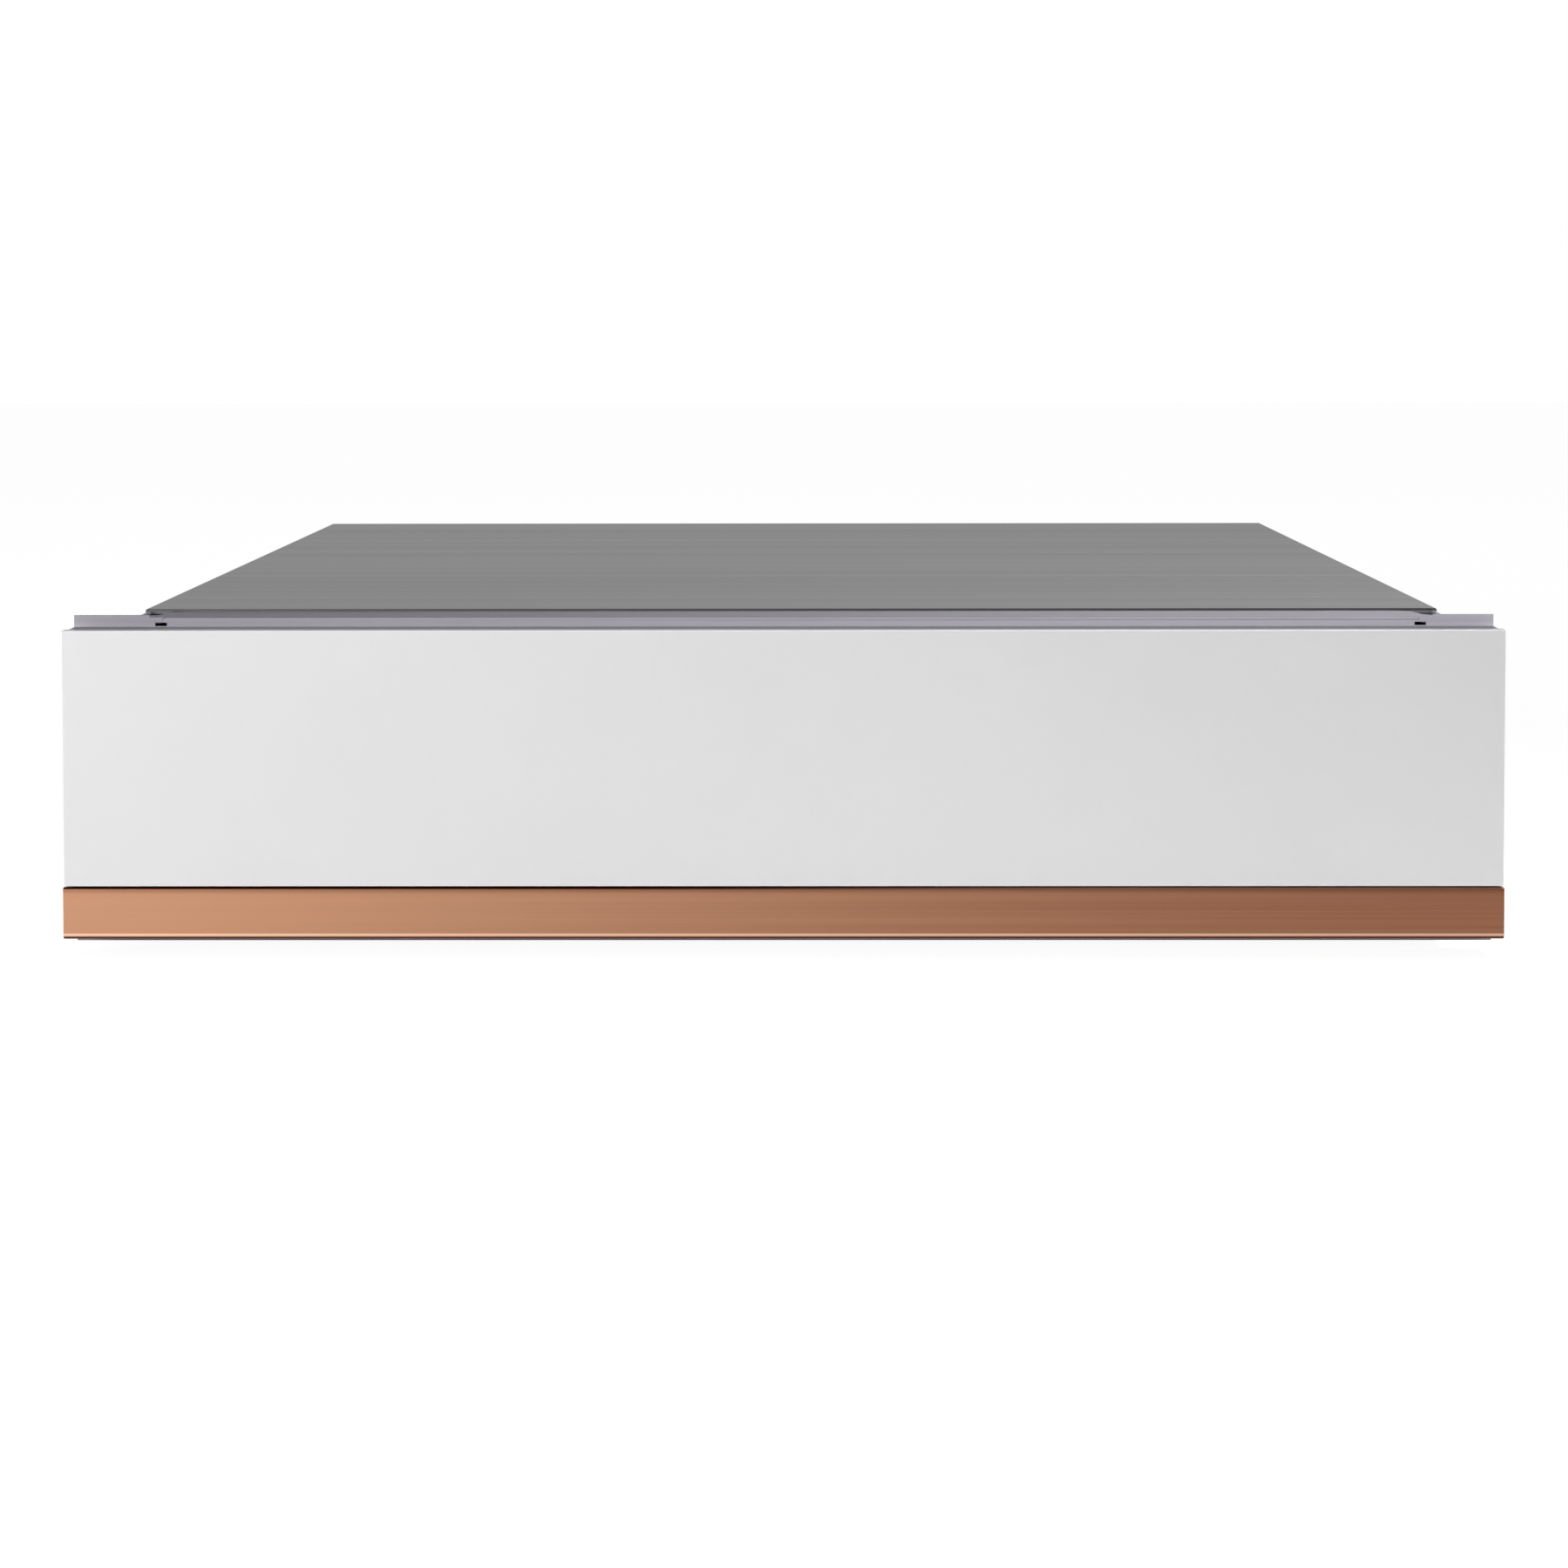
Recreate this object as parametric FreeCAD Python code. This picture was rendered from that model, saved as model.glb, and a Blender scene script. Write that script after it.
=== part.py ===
"""Vacuum sealing drawer for a kitchen column, built up from its separate pieces.

Lengths are in millimetres. X runs to the right, the front faces minus Y and Z is up.
The origin is on the floor, under the middle of the whole appliance. The pieces are
drawn about the middle of the housing, and export_node moves each one by body_shift,
because the housing stands a little to the right of the middle of the front.
"""
import FreeCAD
import Part
import math
import os

Vector = FreeCAD.Vector
ORIGIN = Vector(0, 0, 0)
X_AXIS = Vector(1, 0, 0)
Y_AXIS = Vector(0, 1, 0)
Z_AXIS = Vector(0, 0, 1)

# Housing
body_width = 552.0
body_depth = 545.0
body_height = 140.0
body_shift = 3.0
feet_height = 2.5
feet_radius = 9.0
feet_inset = 40.0
tray_sheet = 1.2
cover_sheet = 1.0
hem_height = 11.0
hem_gap = 0.2
lip_width = 9.0
rear_sheet = 1.2
cover_setback = 26.0

# Mounting frame round the drawer
flange_sheet = 1.5
wing_width = 21.5
frame_passage = 6.4
ledge_inset = 7.5
ledge_taper = 4.5
ledge_overlap = 2.0
frame_return = 20.0
frame_slot_width = 5.0
frame_slot_height = 1.5
frame_slot_drop = 2.0
cabinet_hole_radius = 2.25
cabinet_hole_edge = 7.5
cabinet_hole_spacing = 70.0
cabinet_hole_height = 36.0

# Door
front_bottom = 8.0
glass_height = 106.0
glass_thickness = 6.0
glass_inset = 0.3
glass_arris = 0.4
tape_thickness = 0.6
trim_height = 21.5
trim_gap = 0.5
trim_front = 2.5
trim_wall = 1.5
trim_edge = 0.6
door_sheet = 1.5
door_thickness = 21.0
carrier_inset = 0.6
push_gap = 4.0
push_travel = 2.5
bumper_radius = 5.0
bumper_clearance = 0.3
bumper_edge = 12.0

# Ball slides between the housing and the drawer
rail_length = 500.0
rail_setback = 3.5
rail_depth = 12.7
rail_height = 45.6
rail_centre = 45.0
rail_sheet = 1.2
rail_ball_radius = 1.8
rail_clearance = 0.3
rail_web_gap = 0.5
cage_sheet = 0.6
cage_length = 240.0
cage_ball_count = 12
cage_ball_pitch = 19.0

# Drawer box and deck
drawer_sheet = 1.2
drawer_depth = 509.0
floor_gap = 4.3
drawer_lip = 10.0
deck_sheet = 1.5
deck_split = 16.5
deck_joint = 0.4
deck_hole_gap = 0.8
deck_slot_count = 22
deck_slot_width = 3.0
deck_slot_length = 26.0
deck_slot_pitch = 9.0

# Vacuum chamber
chamber_width = 350.0
chamber_length = 286.0
chamber_floor_gap = 14.3
chamber_sheet = 1.2
chamber_corner = 26.0
chamber_floor_radius = 9.0
chamber_rim = 14.0
chamber_front_margin = 71.0
seal_width = 8.0
seal_height = 3.6
seal_inset = 3.0
seal_gap = 0.3
filter_radius = 9.0
filter_thickness = 5.0
filter_drop = 20.0
port_radius = 3.0
port_length = 8.0

# Glass lid and its hinge
lid_headroom = 14.4
lid_thickness = 8.0
lid_overhang = 3.5
lid_corner = 10.0
clamp_sheet = 1.5
clamp_grip = 10.0
hinge_distance = 15.0
hinge_axis_drop = 6.6
hinge_offset = 150.0
hinge_barrel_radius = 4.5
hinge_barrel_length = 40.0
hinge_pin_radius = 2.5
hinge_clearance = 0.05
hinge_ear = 3.0
hinge_ear_gap = 0.3
hinge_ear_radius = 6.0
damper_radius = 6.0
damper_length = 14.0
counter_bar_width = 10.0
counter_bar_height = 4.1

# Sealing bar in the chamber
seal_bar_length = 330.0
seal_bar_width = 10.0
seal_bar_height = 10.0
seal_bar_lift = 6.0
seal_bar_margin = 19.0
strip_width = 5.0
strip_thickness = 0.4
piston_radius = 6.0
piston_offset = 110.0
piston_engagement = 34.0
cylinder_wall = 3.0
cylinder_height = 54.0
piston_clearance = 0.05

# Control panel
panel_width = 280.0
panel_depth = 32.0
panel_thickness = 3.0
panel_front_gap = 5.0
panel_corner = 4.0
board_thickness = 1.6
board_drop = 4.5
board_margin = 6.0
post_radius = 3.0

# Vacuum pump and its motor, behind the chamber and to the right of the valves
pump_width = 60.0
pump_length = 64.0
pump_top_gap = 12.0
pump_head_height = 13.0
pump_head_gap = 4.0
pump_rear_gap = 33.8
motor_radius = 34.0
motor_length = 95.0
motor_shaft_radius = 2.5
saddle_width = 10.0
plate_thickness = 3.0
plate_margin = 5.0
damper_foot_radius = 8.0
damper_foot_height = 4.8
damper_foot_inset = 14.0
pump_fan_radius = 27.0
pump_fan_hub = 8.0
pump_fan_width = 8.0
pump_fan_blades = 9
pump_fan_gap = 3.0
fan_clearance = 0.05
muffler_radius = 11.0
muffler_length = 45.0

# Valves and hoses
valve_wall_gap = 129.7
valve_width = 60.0
valve_length = 36.0
valve_height = 28.0
valve_gap = 35.0
valve_port_inset = 8.0
coil_radius = 9.0
coil_height = 30.0
hose_radius = 4.0
hose_bore = 2.5
pipe_radius = 3.0
pipe_bore = 1.8
pipe_side_gap = 20.0

# Cooling fan in the drawer's rear wall
fan_size = 70.0
fan_depth = 20.0
fan_bore = 33.0
fan_tip_gap = 2.0
fan_hub = 12.0
fan_blades = 7
fan_blade = 1.6
fan_wall_gap = 29.7
fan_floor_gap = 3.0
fan_shaft_radius = 1.5
fan_spoke = 3.0

# Electrics
transformer_width = 56.0
transformer_length = 70.0
transformer_height = 52.0
transformer_middle = -25.0
coil_overhang = 7.0
power_board_width = 56.0
power_board_length = 180.0
power_board_middle = -30.0
standoff_height = 11.0
board_side_gap = 5.0
capacitor_radius = 8.0
capacitor_height = 26.0

# Rear panel, mains inlet and latch
rear_slot_count = 11
rear_slot_width = 4.0
rear_slot_height = 44.0
rear_slot_pitch = 10.0
rear_slot_offset = 130.0
inlet_width = 27.0
inlet_height = 20.0
inlet_depth = 18.0
inlet_flange_width = 50.0
inlet_flange_height = 26.0
inlet_wall = 1.6
inlet_wall_gap = 24.8
inlet_centre = 100.0
inlet_pin_width = 2.0
inlet_pin_length = 11.0
inlet_pin_pitch = 7.0
terminal_width = 50.0
terminal_depth = 20.0
terminal_height = 34.0
terminal_offset = -140.0
latch_offset = 150.0
latch_width = 20.0
latch_depth = 24.0
latch_centre = 30.0
latch_cap = 10.0
latch_bore_gap = 0.05
plunger_radius = 4.0
plunger_length = 24.0
plunger_travel = 3.0
plunger_gap = 0.8
strike_width = 20.0
strike_height = 14.0
strike_sheet = 1.5

# Screws and rivets
screw_radius = 1.5
screw_head_radius = 3.2
screw_head_height = 1.2
screw_hole_gap = 0.1
screw_edge = 8.0

# Places that follow from the sizes above
depth = door_thickness + push_gap + body_depth
screw_grip = 2 * tray_sheet
front_y = -depth / 2
rear_y = depth / 2
front_x = -body_shift
body_half = body_width / 2
front_half = body_half + wing_width
door_back_y = front_y + door_thickness
flange_y = door_back_y + push_gap
flange_back_y = flange_y + flange_sheet
front_top = front_bottom + trim_height + trim_gap + glass_height
cover_under = body_height - cover_sheet
cover_front_y = flange_y + cover_setback
tray_half = body_half - cover_sheet - hem_gap
wall_inner = tray_half - tray_sheet
panel_rear_y = rear_y - cover_sheet - hem_gap
panel_inner_y = panel_rear_y - rear_sheet
tray_floor = feet_height + tray_sheet
drawer_half = wall_inner - rail_depth
drawer_inner = drawer_half - drawer_sheet
drawer_bottom = tray_floor + floor_gap
drawer_floor = drawer_bottom + drawer_sheet
drawer_rear_y = door_back_y + drawer_depth
drawer_back_inner_y = drawer_rear_y - drawer_sheet
lid_top = cover_under - lid_headroom
lid_bottom = lid_top - lid_thickness
rim_top = lid_bottom - seal_gap - seal_height
deck_top = rim_top - chamber_sheet
deck_under = deck_top - deck_sheet
frame_opening_top = lid_top + frame_passage
chamber_front_y = door_back_y + chamber_front_margin
chamber_rear_y = chamber_front_y + chamber_length
chamber_floor = drawer_floor + chamber_floor_gap + chamber_sheet
chamber_half = chamber_width / 2
rim_half = chamber_half + chamber_sheet + chamber_rim
rim_front_y = chamber_front_y - chamber_sheet - chamber_rim
rim_rear_y = chamber_rear_y + chamber_sheet + chamber_rim
lid_half = rim_half + lid_overhang
lid_front_y = rim_front_y - lid_overhang
lid_rear_y = rim_rear_y + lid_overhang
hinge_y = lid_rear_y + hinge_distance
hinge_z = lid_top - hinge_axis_drop
deck_split_y = hinge_y + hinge_ear_radius + deck_split
seal_bar_y = chamber_front_y + seal_bar_margin
seal_bar_top = lid_bottom - counter_bar_height - 0.5 - seal_bar_lift
seal_bar_bottom = seal_bar_top - seal_bar_height
panel_y = (door_back_y + panel_front_gap, door_back_y + panel_front_gap + panel_depth)
pump_y = drawer_back_inner_y - pump_rear_gap - pump_length / 2
pump_bottom = drawer_floor + damper_foot_height + plate_thickness
pump_height = deck_under - pump_top_gap - pump_head_height - pump_bottom
valve_left = -drawer_inner + valve_wall_gap
valve_right = valve_left + valve_width
valve_top = drawer_floor + valve_height
pump_left = valve_right + valve_gap
motor_z = pump_bottom + motor_radius
motor_left = pump_left + pump_width
motor_right = motor_left + motor_length
port_offset = valve_port_inset - valve_right
fan_offset = drawer_inner - fan_wall_gap - fan_size / 2
inlet_offset = inlet_wall_gap + inlet_flange_width / 2 - tray_half


def block(x, y, z):
    """A box between two limits on each axis."""
    return Part.makeBox(x[1] - x[0], y[1] - y[0], z[1] - z[0], Vector(x[0], y[0], z[0]))


def around(middle, size):
    """The two limits of a size about its middle."""
    return (middle - size / 2, middle + size / 2)


def rod(radius, start, direction, length):
    """A round bar."""
    return Part.makeCylinder(radius, length, start, direction)


def fused(shapes):
    """One solid from touching or overlapping shapes."""
    return shapes[0].fuse(shapes[1:]).removeSplitter()


def group(shapes):
    """Separate solids in one node."""
    return Part.makeCompound(shapes)


def mirrored(shape):
    """The same shape on the other side of the housing."""
    return shape.mirror(ORIGIN, X_AXIS)


def both_sides(shape):
    """A shape and its mirror image, as separate solids."""
    return group([shape, mirrored(shape)])


def upright_edges(shape):
    """The straight edges along Z."""
    return [edge for edge in shape.Edges if abs(edge.BoundBox.ZLength - edge.Length) < 1e-6]


def edges_at_height(shape, height):
    """The edges that lie wholly at one height."""
    return [edge for edge in shape.Edges
            if abs(edge.BoundBox.ZMin - height) < 1e-4 and edge.BoundBox.ZLength < 1e-4]


def rounded_block(x, y, z, radius):
    """A box with round upright corners."""
    plain = block(x, y, z)
    return plain.makeFillet(radius, upright_edges(plain))


def screw(point, direction):
    """A pan-head screw whose head sits on point and whose shank runs along direction."""
    head = rod(screw_head_radius, point, direction.multiply(-1), screw_head_height)
    direction.multiply(-1)
    head = head.makeFillet(screw_head_height * 0.45, [far_edge(head, point)])
    return fused([head, rod(screw_radius, point, direction, screw_grip)])


def far_edge(head, point):
    """The rim of a screw head that is furthest from its seat."""
    rims = [edge for edge in head.Edges if edge.Curve.TypeId == "Part::GeomCircle"]
    return max(rims, key=lambda edge: (edge.CenterOfMass - point).Length)


def drilled(shape, places):
    """The shape with a clearance hole for each screw."""
    radius = screw_radius + screw_hole_gap
    reach = screw_grip + screw_head_height
    holes = [rod(radius, point - direction * screw_head_height, direction, reach + screw_head_height)
             for point, direction in places]
    return shape.cut(holes)


def screws(places):
    """One solid for each place."""
    return group([screw(Vector(point), Vector(direction)) for point, direction in places])


def cover_screw_places():
    """Screws through the cover's side hems."""
    height = cover_under - hem_height / 2
    places = []
    for share in (0.15, 0.5, 0.85):
        y = cover_front_y + share * (rear_y - cover_front_y)
        places.append((Vector(body_half, y, height), Vector(-1, 0, 0)))
        places.append((Vector(-body_half, y, height), Vector(1, 0, 0)))
    return places


def rail_screw_places():
    """Screws from outside through the housing walls into the outer rails."""
    places = []
    for share in (0.1, 0.5, 0.9):
        y = flange_back_y + rail_setback + share * rail_length
        places.append((Vector(tray_half, y, rail_centre), Vector(-1, 0, 0)))
        places.append((Vector(-tray_half, y, rail_centre), Vector(1, 0, 0)))
    return places


def frame_screw_places():
    """Screws through the frame's side returns into the housing walls."""
    y = flange_back_y + frame_return / 2
    places = []
    for z in (front_bottom + screw_edge * 2, cover_under - hem_height - screw_edge * 2):
        places.append((Vector(body_half, y, z), Vector(-1, 0, 0)))
        places.append((Vector(-body_half, y, z), Vector(1, 0, 0)))
    return places


def rear_screw_places():
    """Screws along the rear panel's lower edge."""
    height = feet_height + tray_sheet + screw_edge
    places = []
    for x in (-body_half + screw_edge * 2, 0, body_half - screw_edge * 2):
        places.append((Vector(x, panel_rear_y, height), Vector(0, -1, 0)))
    return places


def drawer_screw_places():
    """Screws from inside the drawer box into the inner rails."""
    places = []
    for share in (0.08, 0.5, 0.92):
        y = flange_back_y + rail_setback + share * rail_length
        if y < drawer_back_inner_y - screw_head_radius:
            places.append((Vector(drawer_inner, y, rail_centre), Vector(1, 0, 0)))
            places.append((Vector(-drawer_inner, y, rail_centre), Vector(-1, 0, 0)))
    return places


def door_screw_places():
    """Screws from inside the drawer box into the door."""
    y = door_back_y + drawer_sheet
    places = []
    for x in (-drawer_inner * 0.85, -drawer_inner * 0.3, drawer_inner * 0.3, drawer_inner * 0.85):
        for z in (drawer_floor + screw_edge, deck_under - screw_edge * 2):
            places.append((Vector(x, y, z), Vector(0, -1, 0)))
    return places


def deck_screw_places():
    """Screws that hold the deck and the rear deck cover down on the drawer box."""
    x = drawer_inner - drawer_lip / 2
    rows = (door_back_y + screw_edge * 2, chamber_front_y + chamber_length / 2,
            deck_split_y - screw_edge, deck_split_y + screw_edge * 1.5, drawer_back_inner_y - screw_edge * 1.5)
    places = []
    for y in rows:
        places.append((Vector(x, y, deck_top), Vector(0, 0, -1)))
        places.append((Vector(-x, y, deck_top), Vector(0, 0, -1)))
    return places


def base_tray():
    """Folded tray: floor, side walls and the lips that carry the cover and the ledge."""
    y = (flange_back_y, panel_inner_y)
    floor = block((-tray_half, tray_half), y, (feet_height, tray_floor))
    wall = block((wall_inner, tray_half), y, (feet_height, cover_under))
    lip = block((wall_inner - lip_width, tray_half), (cover_front_y, panel_inner_y),
                (cover_under - tray_sheet, cover_under))
    tab = block((wall_inner - lip_width, tray_half), (flange_back_y, cover_front_y),
                (cover_under - flange_sheet - tray_sheet, cover_under - flange_sheet))
    whole = fused([floor, wall, lip, tab, mirrored(wall), mirrored(lip), mirrored(tab)])
    return drilled(whole, rail_screw_places() + frame_screw_places() + cover_screw_places())


def rubber_feet():
    """Four pads under the corners of the tray."""
    feet = []
    for x in (-body_half + feet_inset, body_half - feet_inset):
        for y in (flange_back_y + feet_inset, rear_y - feet_inset):
            feet.append(rod(feet_radius, Vector(x, y, 0), Z_AXIS, feet_height))
    return group(feet)


def rear_panel():
    """Rear sheet with two banks of air slots and the cut-out for the mains inlet."""
    sheet = block((-tray_half, tray_half), (panel_inner_y, panel_rear_y), (feet_height, cover_under))
    through = (panel_inner_y - 1, panel_rear_y + 1)
    middle = (drawer_floor + deck_under) / 2
    cuts = []
    for bank in (-1, 1):
        for index in range(rear_slot_count):
            x = bank * rear_slot_offset / 2 + (index - (rear_slot_count - 1) / 2) * rear_slot_pitch
            cuts.append(block(around(x, rear_slot_width), through, around(middle, rear_slot_height)))
    cuts.append(block(around(inlet_offset, inlet_width), through, around(inlet_centre, inlet_height)))
    return drilled(sheet.cut(cuts), rear_screw_places())


def top_cover():
    """Brushed steel cover with hems down both sides and the rear."""
    y = (cover_front_y, rear_y)
    plate = block((-body_half, body_half), y, (cover_under, body_height))
    hem = block((body_half - cover_sheet, body_half), y, (cover_under - hem_height, body_height))
    rear_hem = block((-body_half, body_half), (rear_y - cover_sheet, rear_y),
                     (cover_under - hem_height, body_height))
    whole = fused([plate, hem, mirrored(hem), rear_hem])
    folds = [edge for edge in edges_at_height(whole, body_height)
             if edge.BoundBox.YLength > body_depth / 2 or edge.BoundBox.YMin > rear_y - 0.01]
    whole = whole.makeFillet(cover_sheet * 0.8, folds)
    return drilled(whole, cover_screw_places())


def cabinet_hole_places():
    """Centres of the four holes that fix the frame to the cabinet's sides."""
    places = []
    for side in (-1, 1):
        for height in (0, cabinet_hole_spacing):
            x = front_x + side * (front_half - cabinet_hole_edge)
            places.append(Vector(x, flange_y - 1, cabinet_hole_height + height))
    return places


def front_frame():
    """Flat frame round the opening, with a ledge under the cover and two side returns."""
    sheet_y = (flange_y, flange_back_y)
    outline = block((front_x - front_half, front_x + front_half), sheet_y, (feet_height, cover_under))
    opening = block((-wall_inner + rail_clearance, wall_inner - rail_clearance),
                    (flange_y - 1, flange_back_y + 1),
                    (drawer_bottom - rail_clearance * 3, frame_opening_top))
    holes = [rod(cabinet_hole_radius, place, Y_AXIS, flange_sheet + 2) for place in cabinet_hole_places()]
    slot_z = around(cover_under - frame_slot_drop, frame_slot_height)
    slots = [block(around(side * (body_half - ledge_inset * 1.6), frame_slot_width),
                   (flange_y - 1, flange_back_y + 1), slot_z) for side in (-1, 1)]
    sheet = outline.cut([opening] + holes + slots)
    wing = block((tray_half, body_half), (flange_back_y, flange_back_y + frame_return),
                 (front_bottom, cover_under - hem_height - hem_gap))
    wing = drilled(group([wing, mirrored(wing)]), frame_screw_places()).Solids
    return fused([sheet, frame_ledge()] + wing)


def frame_ledge():
    """Ledge that runs back from the frame's top edge, with slanted ends."""
    back_y = cover_front_y + ledge_overlap
    front = body_half - ledge_inset
    back = front - ledge_taper
    z = cover_under - flange_sheet
    corners = [Vector(-front, flange_back_y, z), Vector(front, flange_back_y, z),
               Vector(back, back_y, z), Vector(-back, back_y, z)]
    outline = Part.makePolygon(corners + [corners[0]])
    whole = Part.Face(outline).extrude(Vector(0, 0, flange_sheet))
    lips = block((-tray_half, tray_half), (cover_front_y, back_y), (z, cover_under))
    keep = block((-wall_inner + lip_width + hem_gap, wall_inner - lip_width - hem_gap),
                 (flange_back_y, back_y), (z, cover_under))
    return whole.cut(lips.cut(keep))


def rail_x(start, end):
    """Limits along X on the right, measured from the housing wall towards the drawer."""
    return (wall_inner - end, wall_inner - start)


def channel(web, flange, half_height, y):
    """A C section on the right side: web and flanges as distances from the wall."""
    web_part = block(rail_x(*web), y, (rail_centre - half_height, rail_centre + half_height))
    inner = half_height - (web[1] - web[0])
    upper = block(rail_x(*flange), y, (rail_centre + inner, rail_centre + half_height))
    lower = block(rail_x(*flange), y, (rail_centre - half_height, rail_centre - inner))
    return fused([web_part, upper, lower])


def rail_span():
    """Front and rear ends of the closed rails."""
    return (flange_back_y + rail_setback, flange_back_y + rail_setback + rail_length)


def rail_outer():
    """Outer member, fixed to the housing wall."""
    reach = rail_depth - rail_sheet * 2
    rail = channel((0, rail_sheet), (0, reach), rail_height / 2, rail_span())
    return drilled(rail, rail_screw_places())


def mid_half_height():
    """Half the height of the middle member, inside the outer balls."""
    return rail_height / 2 - rail_sheet - 2 * (rail_ball_radius + rail_clearance)


def inner_half_height():
    """Half the height of the inner member, inside the inner balls."""
    return mid_half_height() - rail_sheet - 2 * (rail_ball_radius + rail_clearance)


def rail_mid():
    """Middle member, which runs half as far as the drawer."""
    start = rail_sheet + 2 * rail_web_gap + cage_sheet
    reach = rail_depth - rail_sheet - 2 * rail_web_gap
    return channel((start, start + rail_sheet), (start, reach), mid_half_height(), rail_span())


def rail_inner():
    """Inner member, screwed to the drawer box."""
    start = 2 * rail_sheet + 4 * rail_web_gap + 2 * cage_sheet + rail_web_gap
    end = (rail_span()[0], min(rail_span()[1], drawer_rear_y))
    rail = channel((rail_depth - rail_sheet, rail_depth), (start, rail_depth),
                   inner_half_height(), end)
    return drilled(rail, drawer_screw_places())


def ball_cage(start, reach, row):
    """Cage strip with two rows of balls between two members."""
    middle = (rail_span()[0] + rail_span()[1]) / 2
    y = around(middle, cage_length)
    strip = channel((start, start + cage_sheet), (start, reach), row + cage_sheet / 2, y)
    balls = []
    for index in range(cage_ball_count):
        ball_y = middle + (index - (cage_ball_count - 1) / 2) * cage_ball_pitch
        for side in (-1, 1):
            centre = Vector(wall_inner - (start + reach) / 2, ball_y, rail_centre + side * row)
            balls.append(Part.makeSphere(rail_ball_radius, centre))
    return fused([strip] + balls)


def ball_cage_outer():
    """Cage between the outer and the middle member."""
    start = rail_sheet + rail_web_gap
    row = rail_height / 2 - rail_sheet - rail_ball_radius - rail_clearance
    return ball_cage(start, rail_depth - 3 * rail_sheet, row)


def ball_cage_inner():
    """Cage between the middle and the inner member."""
    start = 2 * rail_sheet + 3 * rail_web_gap + cage_sheet
    row = mid_half_height() - rail_sheet - rail_ball_radius - rail_clearance
    return ball_cage(start, rail_depth - 2 * rail_sheet - 2 * rail_web_gap, row)


def drawer_tray():
    """Drawer box: floor, four walls and the lips that carry the deck."""
    y = (door_back_y, drawer_rear_y)
    whole = block((-drawer_half, drawer_half), y, (drawer_bottom, deck_under))
    hollow = block((-drawer_inner, drawer_inner), (y[0] + drawer_sheet, y[1] - drawer_sheet),
                   (drawer_floor, deck_under))
    lip = block((drawer_inner - drawer_lip, drawer_inner), (y[0] + drawer_sheet, y[1] - drawer_sheet),
                (deck_under - drawer_sheet, deck_under))
    shell = fused([whole.cut(hollow), lip, mirrored(lip)])
    fan_opening = rod(fan_bore, Vector(-fan_offset, drawer_back_inner_y - 1, fan_z()), Y_AXIS,
                      drawer_sheet + 2)
    shell = shell.cut(fan_opening)
    return drilled(shell, drawer_screw_places() + door_screw_places() + deck_screw_places())


def deck_plate():
    """Brushed deck round the chamber."""
    plate = block((-drawer_half, drawer_half), (door_back_y, deck_split_y), (deck_under, deck_top))
    gap = chamber_sheet + deck_hole_gap
    hole = rounded_block((-chamber_half - gap, chamber_half + gap),
                         (chamber_front_y - gap, chamber_rear_y + gap),
                         (deck_under - 1, deck_top + 1), chamber_corner + gap)
    return drilled(plate.cut(hole), deck_screw_places())


def rear_deck_cover():
    """Slotted cover over the pump, behind the deck."""
    y = (deck_split_y + deck_joint, drawer_rear_y)
    plate = block((-drawer_half, drawer_half), y, (deck_under, deck_top))
    middle = (y[0] + y[1]) / 2
    slots = []
    for index in range(deck_slot_count):
        x = (index - (deck_slot_count - 1) / 2) * deck_slot_pitch
        slots.append(rounded_block(around(x, deck_slot_width), around(middle, deck_slot_length),
                                   (deck_under - 1, deck_top + 1), deck_slot_width * 0.49))
    return drilled(plate.cut(slots), deck_screw_places())


def basin(outset, floor, top):
    """Solid body of the chamber, larger than its inside by outset."""
    x = (-chamber_half - outset, chamber_half + outset)
    y = (chamber_front_y - outset, chamber_rear_y + outset)
    solid = rounded_block(x, y, (floor - outset, top), chamber_corner + outset)
    return solid.makeFillet(chamber_floor_radius + outset, edges_at_height(solid, floor - outset))


def chamber_tub():
    """Deep-drawn steel chamber that hangs by its rim in the deck."""
    rim = rounded_block((-rim_half, rim_half), (rim_front_y, rim_rear_y),
                        (deck_top, rim_top), chamber_corner + chamber_rim)
    whole = fused([basin(chamber_sheet, chamber_floor, rim_top), rim])
    hollow = basin(0, chamber_floor, rim_top + 1)
    port = rod(port_radius, Vector(-port_offset, chamber_rear_y - 1, rim_top - filter_drop), Y_AXIS,
               chamber_sheet + 2)
    holes = [rod(piston_radius, Vector(side * piston_offset, seal_bar_y, chamber_floor + 1),
                 Vector(0, 0, -1), chamber_sheet + 2) for side in (-1, 1)]
    return whole.cut([hollow, port] + holes)


def lid_seal():
    """Silicone gasket on the chamber's rim."""
    z = (rim_top, rim_top + seal_height)
    outset = chamber_sheet + seal_inset
    outer = rounded_block((-chamber_half - outset - seal_width, chamber_half + outset + seal_width),
                          (chamber_front_y - outset - seal_width, chamber_rear_y + outset + seal_width),
                          z, chamber_corner + outset + seal_width)
    inner = rounded_block((-chamber_half - outset, chamber_half + outset),
                          (chamber_front_y - outset, chamber_rear_y + outset),
                          z, chamber_corner + outset)
    ring = outer.cut(inner)
    return ring.makeFillet(seal_height * 0.35, edges_at_height(ring, z[1]))


def suction_filter():
    """Filter cap on the chamber's rear wall, with its pipe stub through the wall."""
    centre = Vector(-port_offset, chamber_rear_y - filter_thickness, rim_top - filter_drop)
    cap = rod(filter_radius, centre, Y_AXIS, filter_thickness)
    cap = cap.makeChamfer(1.0, [min(cap.Edges, key=lambda edge: edge.CenterOfMass.y)])
    stub = rod(port_radius, centre, Y_AXIS, filter_thickness + chamber_sheet + port_length)
    return fused([cap, stub])


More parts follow.
